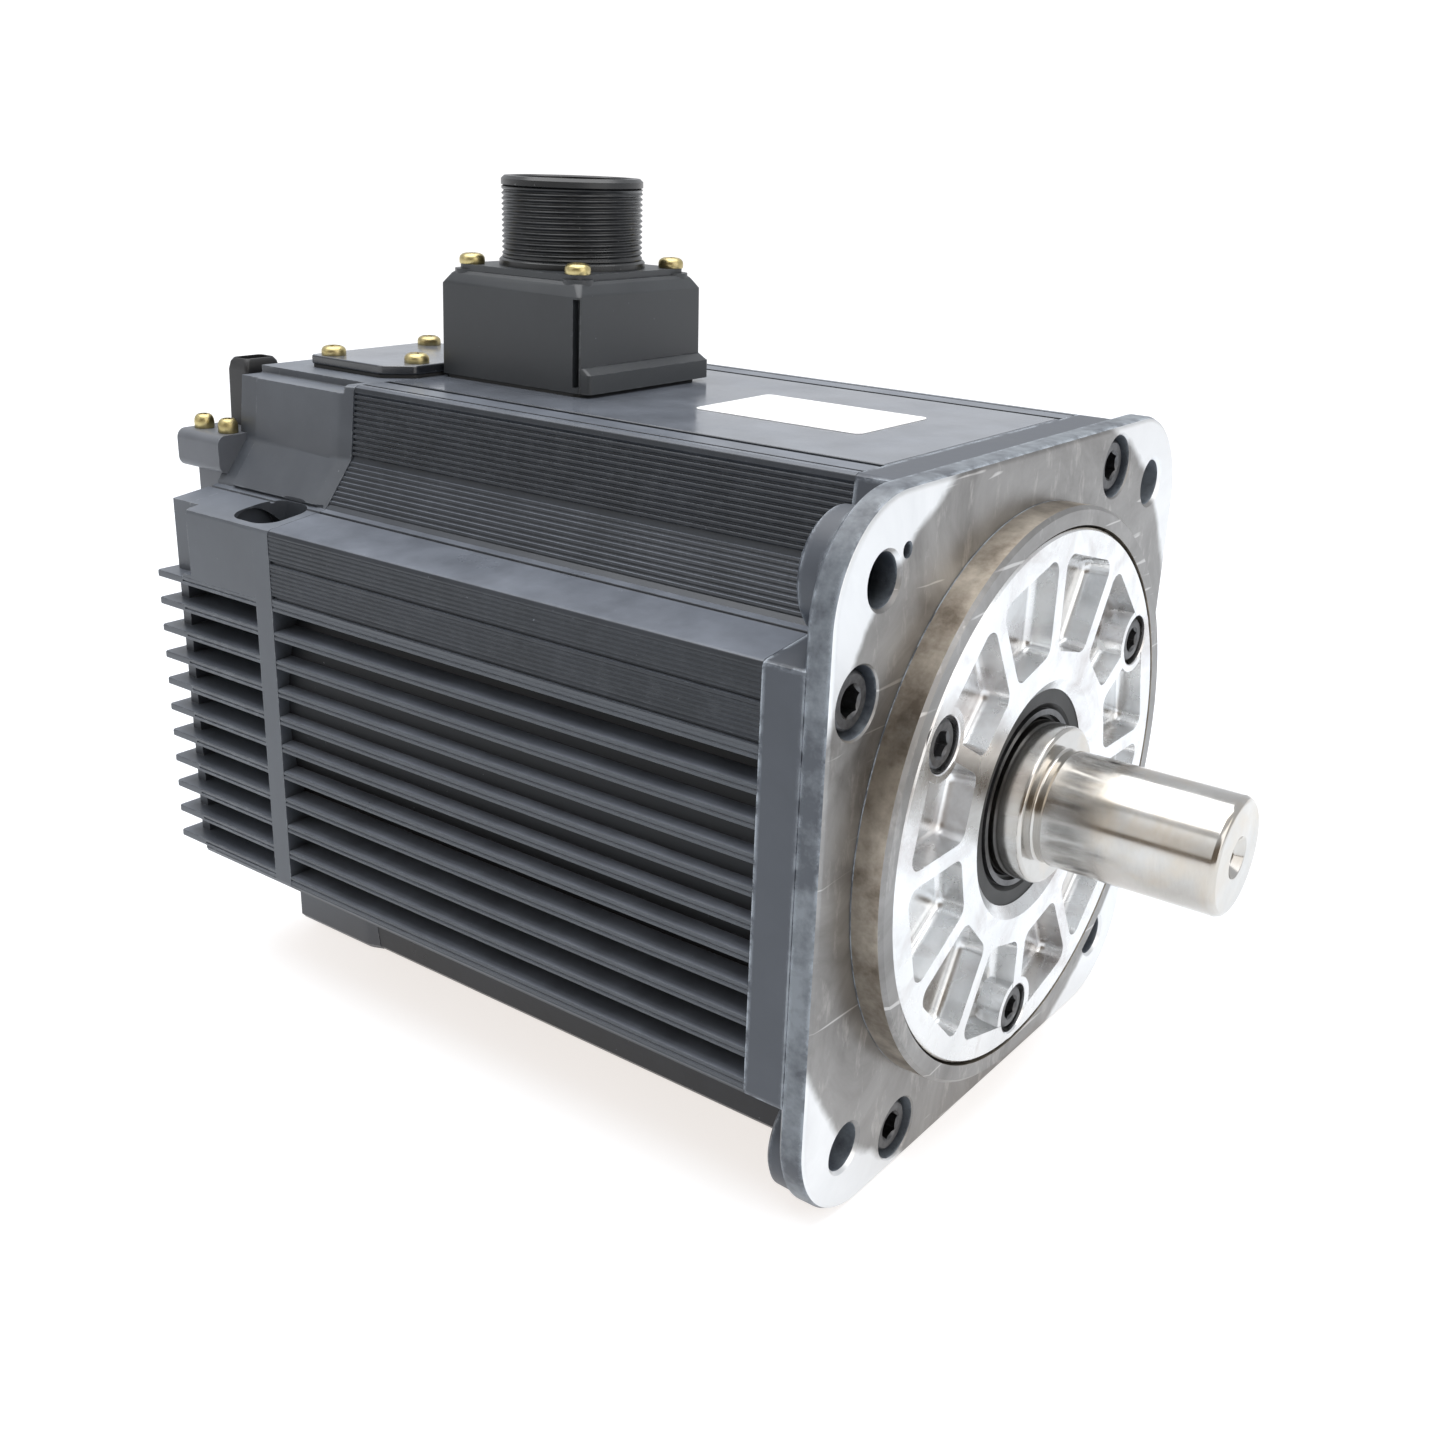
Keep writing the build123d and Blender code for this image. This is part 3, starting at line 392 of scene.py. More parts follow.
def bare_flange(name):
    """Painted casting with a machined front: grey-brown stain inside, bright corners, scratches."""
    s = Surface(name, Metallic=0.0)
    s.shader.inputs["Specular IOR Level"].default_value = 0.5
    place = s.split(s.coord.outputs["Object"])
    radius = s.math("SQRT", s.math("ADD", s.math("MULTIPLY", place["Y"], place["Y"]),
                                   s.math("MULTIPLY", place["Z"], place["Z"])))
    waver = s.math("MULTIPLY", s.math("SUBTRACT", s.noise(55.0, 5.0, 0.6), 0.5), 0.006)
    radius = s.math("ADD", radius, waver)
    front = s.math("GREATER_THAN", s.facing("X"), 0.55)
    ahead = s.math("GREATER_THAN", place["X"], -0.0016)
    machined = s.math("MULTIPLY", front, ahead)
    pilot = s.math("GREATER_THAN", place["X"], 0.0002)
    machined = s.math("MAXIMUM", machined, pilot)
    pilot_wall = s.math("MULTIPLY", pilot, s.math("LESS_THAN", s.facing("X"), 0.4))
    # paint
    mottle = s.noise(60.0, 5.0, 0.6)
    paint = s.mix(s.ramp(mottle, (0.35, 0.0), (0.75, 1.0)), (0.038, 0.045, 0.058), (0.056, 0.064, 0.080))
    chips = s.math("MULTIPLY", s.ramp(s.math("MULTIPLY", s.edge(1.3), 6.0), (0.22, 0.0), (0.8, 1.0)),
                   s.ramp(s.noise(260.0, 5.0, 0.7), (0.42, 0.0), (0.56, 1.0)))
    # The front of the flange's side is lightened with noise: partly rubbed paint, partly a painted
    # highlight.
    rubbed_and_highlight = s.math("MULTIPLY", s.math("GREATER_THAN", place["X"], -0.0049),
                    s.ramp(s.noise(85.0, 5.0, 0.7), (0.40, 0.05), (0.62, 0.75)))
    paint = s.mix(rubbed_and_highlight, paint, (0.20, 0.225, 0.25))
    paint = s.mix(chips, paint, (0.45, 0.50, 0.56))
    # bare metal
    cloud = s.noise(38.0, 6.0, 0.65, distortion=0.8)
    stain = s.mix(s.ramp(cloud, (0.32, 0.0), (0.72, 1.0)), (0.15, 0.145, 0.14), (0.34, 0.335, 0.33))
    fine = s.noise(260.0, 5.0, 0.7, stretch=(1.0, 1.0, 0.35))
    stain = s.mix(s.ramp(fine, (0.55, 0.0), (0.75, 0.55)), stain, (0.52, 0.50, 0.48))
    scratch = s.noise(160.0, 2.0, 0.5, stretch=(1.0, 0.18, 2.4), distortion=1.2)
    stain = s.mix(s.ramp(scratch, (0.66, 0.0), (0.70, 0.6)), stain, (0.62, 0.61, 0.60))
    bright = s.mix(s.ramp(cloud, (0.3, 0.0), (0.8, 1.0)), (0.66, 0.67, 0.68), (0.82, 0.83, 0.84))
    zone = s.ramp(s.math("MULTIPLY", radius, 10.0), (0.705, 0.0), (0.722, 1.0))
    metal_colour = s.mix(zone, stain, bright)
    bronze = s.mix(s.ramp(s.noise(90.0, 5.0, 0.7), (0.35, 0.0), (0.7, 1.0)),
                   (0.20, 0.165, 0.13), (0.60, 0.54, 0.46))
    metal_colour = s.mix(pilot_wall, metal_colour, bronze)
    s.colour(s.mix(machined, paint, metal_colour))
    s.metal(s.math("MULTIPLY", machined, 0.92))
    rough_metal = s.ramp(cloud, (0.3, 0.30), (0.75, 0.46))
    s.rough(s.mix(machined, s.ramp(mottle, (0.3, 0.36), (0.7, 0.48)), rough_metal))
    s.bump(s.mix(machined, s.noise(600.0, 3.0, 0.5), scratch), 0.22, 0.05)
    return s.material


def turned_metal(name, base, light, roughness, streak=0.35, tint=None, across=(1.0, 1.0, 1.0)):
    """Machined metal with fine stretched tool marks and a little tarnish."""
    s = Surface(name, Metallic=1.0, Roughness=roughness)
    marks = s.noise(900.0, 3.0, 0.6, stretch=across)
    cloud = s.noise(45.0, 5.0, 0.6, distortion=0.5)
    colour = s.mix(s.ramp(cloud, (0.35, 0.0), (0.7, 1.0)), base, light)
    if tint:
        blotch = s.noise(70.0, 4.0, 0.6, distortion=0.6)
        colour = s.mix(s.ramp(blotch, (0.48, 0.0), (0.70, 0.8)), colour, tint)
    colour = s.mix(s.math("MULTIPLY", marks, 0.15), colour, (0.9, 0.9, 0.91))
    s.colour(colour)
    s.rough(s.ramp(s.noise(130.0, 4.0, 0.6), (0.3, roughness * 0.75), (0.7, roughness * 1.35)))
    s.bump(marks, streak, 0.02)
    return s.material


def moulded(name, colour, light, roughness, grain=0.3, speck=0.0):
    """Plastic, rubber or varnish with fine grain and slight colour variation."""
    s = Surface(name, Metallic=0.0, Roughness=roughness)
    cloud = s.noise(80.0, 4.0, 0.6)
    base = s.mix(s.ramp(cloud, (0.35, 0.0), (0.7, 1.0)), colour, light)
    if speck:
        dots = s.ramp(s.noise(1300.0, 2.0, 0.5), (0.72, 0.0), (0.78, speck))
        base = s.mix(dots, base, (0.5, 0.5, 0.5))
    s.colour(base)
    s.rough(s.ramp(cloud, (0.3, roughness * 0.85), (0.7, min(1.0, roughness * 1.2))))
    s.bump(s.noise(900.0, 3.0, 0.5), grain, 0.04)
    return s.material


def wound_copper(name):
    """Parallel enamelled wires."""
    s = Surface(name, Metallic=0.85, Roughness=0.32)
    wave = s.node("ShaderNodeTexWave", Scale=420.0, Distortion=0.6, Detail=1.0)
    wave.bands_direction = "DIAGONAL"
    s.link(s.coord.outputs["Object"], wave.inputs["Vector"])
    s.colour(s.mix(wave.outputs["Fac"], (0.30, 0.09, 0.03), (0.72, 0.32, 0.14)))
    s.rough(s.ramp(s.noise(200.0), (0.3, 0.25), (0.7, 0.42)))
    s.bump(wave.outputs["Fac"], 0.6, 0.15)
    return s.material


def stacked_steel(name):
    """Edges of thin laminations."""
    s = Surface(name, Metallic=0.9, Roughness=0.5)
    layers = s.noise(2200.0, 1.0, 0.4, stretch=(1.0, 0.01, 0.01))
    s.colour(s.mix(layers, (0.12, 0.13, 0.15), (0.30, 0.31, 0.33)))
    s.rough(s.ramp(s.noise(150.0), (0.3, 0.42), (0.7, 0.6)))
    s.bump(layers, 0.5, 0.05)
    return s.material


def board(name):
    """Green circuit board with copper tracks under varnish."""
    s = Surface(name, Metallic=0.0, Roughness=0.35)
    cells = s.node("ShaderNodeTexBrick", Scale=260.0)
    s.link(s.coord.outputs["Object"], cells.inputs["Vector"])
    s.colour(s.mix(s.math("MULTIPLY", cells.outputs["Fac"], 0.6), (0.01, 0.09, 0.045), (0.05, 0.24, 0.11)))
    s.rough(s.ramp(s.noise(150.0), (0.3, 0.28), (0.7, 0.45)))
    s.bump(cells.outputs["Fac"], 0.3, 0.03)
    return s.material


def coated_glass(name):
    """Encoder disc: glass with a faint ring pattern."""
    s = Surface(name, Metallic=0.0, Roughness=0.05)
    s.shader.inputs["Transmission Weight"].default_value = 0.7
    rings = s.noise(900.0, 2.0, 0.5)
    s.colour(s.mix(s.ramp(rings, (0.45, 0.0), (0.55, 1.0)), (0.55, 0.68, 0.70), (0.80, 0.88, 0.90)))
    s.rough(s.ramp(rings, (0.3, 0.04), (0.7, 0.10)))
    s.bump(rings, 0.1, 0.01)
    return s.material


paint = painted("slate_paint", (0.048, 0.054, 0.065), (0.072, 0.081, 0.095), 0.38, wear=0.35, top_light_strength=0.30)
paint_frame = painted("slate_frame_paint", (0.014, 0.017, 0.022), (0.026, 0.030, 0.038), 0.33, wear=0.10,
                      gloss=0.35, top_light_strength=0.46, finned=True)
paint_top = painted("slate_paint_gloss", (0.014, 0.016, 0.020), (0.024, 0.027, 0.033), 0.16, wear=0.3,
                    gloss=1.0, top_light_strength=0.45)
paint_box = painted("charcoal_paint", (0.022, 0.025, 0.029), (0.033, 0.037, 0.041), 0.40, dust=0.25,
                    wear=0.12)
paint_block = painted("grey_paint", (0.085, 0.092, 0.105), (0.12, 0.128, 0.145), 0.42, dust=0.2, wear=0.3)
flange_metal = bare_flange("machined_flange")
cover_metal = turned_metal("cover_aluminium", (0.66, 0.67, 0.675), (0.80, 0.81, 0.815), 0.26,
                           tint=(0.46, 0.43, 0.42))
shaft_metal = turned_metal("ground_steel", (0.40, 0.385, 0.36), (0.54, 0.53, 0.51), 0.15, streak=0.25,
                           tint=(0.50, 0.44, 0.36), across=(6.0, 0.6, 0.6))
black_steel = turned_metal("black_oxide", (0.020, 0.020, 0.022), (0.055, 0.055, 0.058), 0.38)
zinc = turned_metal("yellow_zinc", (0.36, 0.29, 0.10), (0.58, 0.48, 0.20), 0.34, tint=(0.16, 0.10, 0.04))
spring_metal = turned_metal("spring_steel", (0.50, 0.50, 0.50), (0.68, 0.68, 0.68), 0.22)
bearing_metal = turned_metal("bearing_steel", (0.60, 0.60, 0.61), (0.76, 0.76, 0.77), 0.10, streak=0.1)
magnet_metal = turned_metal("nickel_plate", (0.42, 0.42, 0.43), (0.58, 0.58, 0.59), 0.25)
brass = turned_metal("turned_brass", (0.60, 0.44, 0.20), (0.78, 0.60, 0.32), 0.24)
rubber = moulded("nitrile_rubber", (0.012, 0.012, 0.012), (0.028, 0.028, 0.028), 0.55)
black_plastic = moulded("black_plastic", (0.010, 0.010, 0.011), (0.020, 0.020, 0.022), 0.42)
shell_black = moulded("black_shell", (0.006, 0.007, 0.008), (0.013, 0.014, 0.016), 0.30, grain=0.2,
                      speck=0.25)
lead_rubber = moulded("lead_insulation", (0.03, 0.03, 0.035), (0.06, 0.06, 0.07), 0.5)
cage_plastic = moulded("natural_polyamide", (0.62, 0.58, 0.46), (0.76, 0.72, 0.60), 0.45)
bobbin_plastic = moulded("insulator", (0.66, 0.62, 0.52), (0.80, 0.77, 0.68), 0.5)
label_film = moulded("label_film", (0.84, 0.84, 0.83), (0.92, 0.92, 0.92), 0.35, grain=0.08)
copper = wound_copper("copper_wire")
steel_stack = stacked_steel("laminations")
circuit = board("circuit_board")
disc_glass = coated_glass("encoder_glass")


# ---- body outline ----
def ribs(start, end, count, depth):
    """A run of small ribs between two points of the outline, valleys cut inwards."""
    crest = 0.5  # share of the pitch that a rib's flat top takes
    (u0, z0), (u1, z1) = start, end
    length = math.hypot(u1 - u0, z1 - z0)
    along = ((u1 - u0) / length, (z1 - z0) / length)
    inward = (along[1], -along[0])
    pitch = length / count
    points = []
    for k in range(count):
        for part, down in ((0.06, 1.0), (0.14, 0.0), (0.14 + crest, 0.0), (0.22 + crest, 1.0)):
            t = (k + part) * pitch
            points.append((u0 + along[0] * t + inward[0] * depth * down,
                           z0 + along[1] * t + inward[1] * depth * down))
    return points


def side_path(ribbed=True, slotted=True, proud=0.0, root=fin_root_radius):
    """Outline of one long side, (u, z) with u outwards, from the top face down to the bottom face."""
    fin_foot = 1.15  # half a fin's thickness at its root
    path = [(40.5 + proud, top_z), (41.3 + proud, top_z - 0.4), (41.6 + proud, top_z - 1.2)]
    if ribbed:
        path += ribs((41.65, 62.8), (43.0, 50.4), 11, 0.42)
        path += ribs((43.3, 49.6), (49.7, 41.6), 9, 0.20)
    else:
        path += [(43.0 + proud, 50.6), (43.3 + proud, 49.6), (49.7 + proud, 41.5)]
    # shoulder with a narrow groove along it
    path += [(50.4, 40.9), (51.9, 40.6), (52.0, 40.2), (52.6, 40.1), (52.7, 40.5)]
    path += [(64.0, 39.1), (64.7, 38.8), (side_u, 38.1)]
    if not slotted:
        path += [(side_u, 0.0), (side_u, -37.4)]
    else:
        if ribbed:
            path += ribs((side_u, 37.8), (side_u, 33.4), 5, 0.14)
            path += [(side_u, 33.3), (side_u, 33.0), (64.3, 32.9)]
            path += [(64.3, 32.3), (side_u, 32.2), (side_u, 31.7)]
            path += ribs((side_u, 31.6), (side_u, 26.4), 6, 0.14)
            path += [(side_u, 26.2), (side_u, 25.9), (64.3, 25.8), (64.3, 25.2), (side_u, 25.1)]
        for k in range(fin_count):
            z = top_fin_z - fin_pitch * k
            path += [(side_u - 0.1, z + 0.85), (side_u, z + 0.7), (side_u, z + 0.22)]
            path += [(side_u - 0.28, z + 0.1), (side_u - 0.28, z - 0.1)]
            path += [(side_u, z - 0.22), (side_u, z - 0.7), (side_u - 0.1, z - 0.85)]
            if k < fin_count - 1:
                upper = z - fin_foot
                lower = z - fin_pitch + fin_foot
                for i in range(5):
                    level = upper + (lower - upper) * i / 4
                    path.append((math.sqrt(root ** 2 - level ** 2), level))
    path += [(side_u, -37.6), (64.7, -38.4), (64.0, -38.8), (50.4, -40.9), (49.7, -41.6),
             (43.3, -49.6), (43.0, -50.6), (41.6 + proud, bottom_z + 1.2), (40.6 + proud, bottom_z)]
    return path


def body_outline(ribbed=True, slotted=True, proud=0.0, grooves=False, root=fin_root_radius):
    """Both long sides, the far one being the near one given half a turn about the shaft."""
    near = [(-u, z) for u, z in side_path(ribbed, slotted, proud, root)]
    far = []
    for u, z in side_path(ribbed, slotted, proud, root):
        z = -z
        if z < bottom_z:
            z = bottom_z
        far.append((u, z))
    far = [(u, top_z if z > 62.9 and u < 41.0 + proud else z) for u, z in far]
    top = []
    if grooves:
        for centre in (39.0, 33.0, -33.0, -39.0):
            half = 0.8 if abs(centre) < 35 else 0.35
            top += [(centre + half, top_z), (centre + half - 0.1, top_z - 0.9),
                    (centre - half + 0.1, top_z - 0.9), (centre - half, top_z)]
    return near + far + top


# ---- stator frame ----
frame_shell = prism("frame_shell", body_outline(grooves=True), frame_rear + 0.05, frame_front - 0.05)
soften(frame_shell, 0.10, 1, 40)
smooth(frame_shell, 22)
dress(frame_shell, paint_frame, HOUSING, "housing_paint", "stator_frame")

top_plate_outline = rounded_rectangle(-71.5, 0.0, 117.0, 64.0, 0.6, 3)
top_plate = slab("frame_top_plate", top_plate_outline, top_z - 0.5, top_z + 0.06)
soften(top_plate, 0.05, 1)
dress(top_plate, paint_top, HOUSING, "housing_paint")

# ---- rear bracket ----
rim_rings = []
for x, proud in ((frame_rear, 0.1), (-131.8, 0.4), (-133.4, 1.1), (-134.4, 1.3), (rim_rear, 1.3)):
    rim_rings.append([(x, y, z) for y, z in body_outline(ribbed=False, slotted=False, proud=proud)])
rim = loft("rim", rim_rings)
rear_fins_outline = body_outline(ribbed=False, proud=1.3, root=51.0)
fins_part = prism("fins_part", rear_fins_outline, bracket_rear, rim_rear + 0.01)
boss_rear = -157.0
additions = [prism("foot", rounded_rectangle(0, -62.6, 78.0, 2.4, 0.6, 3), -133.6, frame_rear)]
for y, z in ((-57.0, 31.0), (57.0, -31.0)):
    additions.append(prism("boss", rounded_rectangle(y, z, 15.9, 14.4, 0.5, 3), boss_rear, rim_rear + 0.01))
rear_body = merge(rim, fins_part, *additions)
lobe = 61.6  # half the width across the lobes that end the fins
pad_edge = 37.0  # half the width of the raised pad on top
step_z = 62.9
past_rear = -161.0


def pad_step(side, x0, x1):
    """Lowers the top face beside the raised pad."""
    outline = rounded_rectangle(side * (pad_edge + 5.0), step_z + 5.0, 10.0, 10.0, 0.3, 3)
    return prism("pad_step", outline, x0, x1)


def under_cut(x0, x1):
    """Lifts the bottom face towards the rear."""
    return prism("under_cut", rounded_rectangle(0, -60.0, 110.0, 20.0, 0.5, 2), x0, x1)


def lobe_end(side, z, height, x0, x1):
    """Trims a side back to the lobes."""
    outline = rounded_rectangle(side * (lobe + 5.0), z, 10.0, height, 0.3, 2)
    return prism("lobe_end", outline, x0, x1)


scoops = []
for number, (y, z) in enumerate(tie_spots):
    open_at_rear = number % 2 == 1
    if open_at_rear:
        scoops.append(prism("scoop", circle(y, z, 5.6, 40), past_rear, -133.2))
    else:
        scoops.append(prism("scoop", circle(y, z, 6.6, 40), -147.0, -133.2))
        pocket = rounded_rectangle(-139.8, y, 13.0, 12.6, 4.5, 8)
        scoops.append(slab("pocket", pocket, *sorted((z, z + math.copysign(12.0, z)))))
        scoops.append(lobe_end(math.copysign(1.0, y), z, 16.0, past_rear, boss_rear))
for side in (-1, 1):
    scoops.append(pad_step(side, past_rear, -133.0))
scoops.append(under_cut(past_rear, boss_rear))
cut(rear_body, *scoops)
rear_body.name = "rear_bracket_body"
soften(rear_body, 0.35, 2, 30)
dress(rear_body, paint, HOUSING, "housing_paint", "rear_bracket")

# ---- encoder cover ----
past_cover = -167.0
in_bracket = -159.0
cap = prism("cap", body_outline(ribbed=False, proud=0.6, slotted=False), cover_back, bracket_rear)
trims = [under_cut(past_cover, in_bracket)]
for side in (-1, 1):
    trims.append(pad_step(side, past_cover, in_bracket))
    trims.append(lobe_end(side, 0.0, 90.0, past_cover, in_bracket))
cut(cap, *trims)
end_wall = prism("end_wall", rounded_rectangle(0, -7.0, 2 * lobe, 62.0, 3.0, 4), cover_back, bracket_rear)


def cover_row(name, count, offset, y, width, height, radius, x0, x1):
    """A column of fins or slots on each side, the far one upside down."""
    row = []
    for k in range(count):
        z = top_fin_z - fin_pitch * (k + offset)
        for side in (-1, 1):
            outline = rounded_rectangle(side * y, -side * z, width, height, radius, 2)
            row.append(prism(name, outline, x0, x1))
    return row


cover_fins = cover_row("fin", fin_count, 0, 60.0, 10.0, 1.6, 0.35, fin_rear, bracket_rear)
slots = cover_row("slot", fin_count - 1, 0.5, 61.5, 18.0, 4.4, 0.4, -163.2, in_bracket)
cover_body = cut(merge(cap, end_wall), *slots)
cover_body = merge(cover_body, *cover_fins)
cover_body.name = "encoder_cover_body"
soften(cover_body, 0.3, 2, 30)
dress(cover_body, paint, HOUSING, "housing_paint", "encoder_cover")

# ---- front bracket ----
screw_seat = -6.8  # floor of the flange's counterbores
flange_outline = rounded_rectangle(0, 0, 130.0, 130.0, 20.0, 24)
edge_outline = rounded_rectangle(0, 0, 127.6, 127.6, 18.8, 24)
back_outline = rounded_rectangle(0, 0, 128.6, 128.6, 19.3, 24)
flange = loft("flange", [
    [(-5.0, y, z) for y, z in back_outline],
    [(-4.3, y, z) for y, z in flange_outline],
    [(-1.2, y, z) for y, z in flange_outline],
    [(-0.35, y, z) for y, z in rounded_rectangle(0, 0, 129.2, 129.2, 19.6, 24)],
    [(0.0, y, z) for y, z in edge_outline]])
hub_block = prism("hub_block", body_outline(ribbed=False, slotted=False), -12.5, -4.5)
bosses = []
for y, z in corner_spots:
    boss_wall = [(-9.6, 9.7), (-8.9, 10.4), (-4.0, 10.6)]
    bosses.append(turned_solid("boss", boss_wall, centre=(y, z), steps=64))
pilot_profile = [(-3.0, 40.0), (-3.0, 55.0), (5.3, 55.0), (6.0, 54.3), (6.0, 51.5), (0.2, 51.5), (0.2, 40.0)]
pilot_ring = lathe("pilot_ring", pilot_profile, steps=160)
merge(flange, hub_block, *bosses)
flange = merge(flange, pilot_ring)
hole_wall = [(-14.0, 4.5), (-0.6, 4.5), (0.0, 5.1), (1.0, 6.1)]
counterbore_wall = [(screw_seat, 6.0), (-0.3, 6.0), (0.0, 6.3), (1.0, 7.3)]
cutters = [turned_solid("recess", [(0.0, 51.49), (9.0, 51.49)], steps=160),
           turned_solid("seat", [(-30.0, 31.0), (1.0, 31.0)], steps=96)]
for y, z in corner_spots:
    cutters.append(turned_solid("hole", hole_wall, centre=(y, z), steps=48))
for y, z in tie_spots:
    cutters.append(turned_solid("counterbore", counterbore_wall, centre=(y, z), steps=48))
cutters.append(turned_solid("tool_hole", [(-4.0, 1.4), (1.0, 1.4)], centre=(-45.0, 55.0), steps=24))
cut(flange, *cutters)
flange.name = "front_flange"
soften(flange, 0.22, 2, 35)
dress(flange, flange_metal, HOUSING, "housing_paint", "front_bracket")


# ---- front cover ----
def pocket_ring(x, shrink, centre_angle):
    """One pocket's outline: a rounded piece of an annulus between two spokes."""
    inner = 28.5 + shrink
    outer = 46.5 - shrink
    half_spoke = 1.6 + shrink
    radius = max(0.6, 2.6 - shrink * 0.6)
    points = []
    for ring_radius, outward in ((outer, 1), (inner, -1)):
        mid = ring_radius - outward * radius
        for side in ((-1, 1) if outward > 0 else (1, -1)):
            reach = math.asin((half_spoke + radius) / mid)
            angle = math.radians(15.0) - reach
            cy = mid * math.cos(side * angle)
            cz = mid * math.sin(side * angle)
            base = math.degrees(side * angle)
            if outward > 0:
                start, end = (-105.0, 0.0 + base) if side < 0 else (base, 105.0)
            else:
                start, end = (105.0, 180.0 + base) if side > 0 else (180.0 + base, 255.0)
            points += arc(cy, cz, radius, start, end, 6)
    turn = math.radians(centre_angle)
    c = math.cos(turn)
    s = math.sin(turn)
    return [(x, y * c - z * s, y * s + z * c) for y, z in points]


cover_profile = [(0.1, 18.0), (-4.0, 18.0), (-4.0, 30.9), (0.0, 30.9), (0.0, 51.0), (5.6, 51.0)]
cover_profile += [(6.0, 50.6), (6.0, 23.2), (4.4, 20.95), (-2.5, 20.95), (-2.5, 18.0)]
cover = lathe("front_cover_disc", cover_profile, steps=160)
pocket_count = 12
pocket_levels = [(1.0, 1.7), (1.15, 1.1), (1.7, 0.6), (2.6, 0.36), (5.8, 0.0), (7.0, -0.15)]
pockets = []
for k in range(pocket_count):
    angle = 15 + 30 * k
    pockets.append(loft("pocket", [pocket_ring(x, shrink, angle) for x, shrink in pocket_levels]))
cut(cover, *pockets)
screw_angles = (30, 150, 270)
screw_circle = 44.4
well_floor = 2.4


def on_screw_circle(angle):
    return screw_circle * math.cos(math.radians(angle)), screw_circle * math.sin(math.radians(angle))


lugs = []
wells = []
for angle in screw_angles:
    spot = on_screw_circle(angle)
    lugs.append(turned_solid("lug", [(0.5, 6.9), (3.0, 6.7), (5.9, 6.5)], centre=spot, steps=48))
    well_wall = [(well_floor, 5.0), (5.7, 5.0), (6.0, 5.3), (8.0, 5.3)]
    wells.append(turned_solid("well", well_wall, centre=spot, steps=48))
merge(cover, *lugs)
cut(cover, *wells)
soften(cover, 0.18, 2, 35)
dress(cover, cover_metal, HOUSING, "cover_aluminium", "front_cover")


# ---- screws ----
def hexagon(cy, cz, radius, turn):
    return arc(cy, cz, radius, turn, turn + 300, 5)


def socket_screw(name, y, z, seat, height, radius, turn, facing=1):
    """Socket-head cap screw: domed edge, knurled side, hexagon socket."""
    far = seat + facing * height
    steps = 72
    rings = []
    for along, r, knurl in ((seat, radius - 0.15, 0.0), (seat + facing * 0.4, radius, 0.10),
                            (far - facing * 1.1, radius, 0.10), (far - facing * 0.35, radius - 0.15, 0.0),
                            (far, radius - 0.6, 0.0)):
        ring = []
        for i in range(steps):
            angle = 2 * math.pi * i / steps
            reach = r - (knurl if i % 2 else 0.0)
            ring.append((along, y + reach * math.cos(angle), z + reach * math.sin(angle)))
        rings.append(ring)
    head = loft(name, rings)
    socket_floor = far - facing * height * 0.6
    socket = prism("socket", hexagon(y, z, radius * 0.56, turn), far + facing * 1.0, socket_floor)
    cone_wall = [(far + facing * 0.2, radius * 0.62 + 0.1), (far - facing * 0.4, radius * 0.5)]
    cone = turned_solid("cone", cone_wall, centre=(y, z), steps=32)
    cut(head, socket)
    cut(head, cone)
    shank_radius = radius * 0.55
    shank_wall = [(seat - facing * 6.0, shank_radius), (seat + facing * 0.1, shank_radius)]
    shank = turned_solid("shank", shank_wall, centre=(y, z), steps=32)
    merge(head, shank)
    return head


def pan_screw(name, x, y, seat, height, radius, turn):
    """Cross-recessed pan-head screw that stands up along Z."""
    profile = [(seat, axis_radius), (seat, radius - 0.1), (seat + 0.2, radius)]
    for i in range(6):
        dome = math.radians(90.0 * i / 5)
        level = seat + height * 0.45 + height * 0.55 * math.sin(dome)
        profile.append((level, radius * (0.45 + 0.55 * math.cos(dome))))
    profile.append((seat + height, axis_radius))
    head = lathe(name, profile, axis="Z", centre=(x, y), steps=48)
    arms = []
    for extra in (0, 90):
        angle = math.radians(turn + extra)
        c = math.cos(angle)
        s = math.sin(angle)
        long = radius * 0.34
        short = radius * 0.1
        low = [(-long, -short), (long, -short), (long, short), (-long, short)]
        high = [(p * 1.75, q * 1.6) for p, q in low]
        rings = []
        for outline, z in ((low, seat + height * 0.35), (high, seat + height + 0.2)):
            rings.append([(x + p * c - q * s, y + p * s + q * c, z) for p, q in outline])
        arms.append(loft("arm", rings))
    cut(head, arms[0])
    cut(head, arms[1])
    shank_wall = [(seat - 3.0, radius * 0.5), (seat + 0.1, radius * 0.5)]
    shank = turned_solid("shank", shank_wall, axis="Z", centre=(x, y), steps=24)
    merge(head, shank)
    return head


def join(name, objects):
    """One object out of several, so that a group of fasteners is one piece."""
    bm = bmesh.new()
    for obj in objects:
        bm.from_mesh(obj.data)
        bpy.data.objects.remove(obj)
    mesh = bpy.data.meshes.new(name)
    bm.to_mesh(mesh)
    bm.free()
    joined = bpy.data.objects.new(name, mesh)
    bpy.context.scene.collection.objects.link(joined)
    return joined


def screw_group(name, screws, material, slot_name, node):
    group = join(name, screws)
    soften(group, 0.06, 1, 30)
    return dress(group, material, HOUSING, slot_name, node)


flange_screws = []
bracket_screws = []
for i, (y, z) in enumerate(tie_spots):
    flange_screws.append(socket_screw("screw", y, z, screw_seat, 5.6, 5.0, 15 + 20 * i))
    bracket_screws.append(socket_screw("screw", y, z, -133.2, 5.6, 5.0, 10 + 25 * i, -1))
screw_group("flange_socket_screws", flange_screws, black_steel, "black_oxide_steel", "bracket_screws")
screw_group("rear_socket_screws", bracket_screws, black_steel, "black_oxide_steel", "rear_bracket_screws")

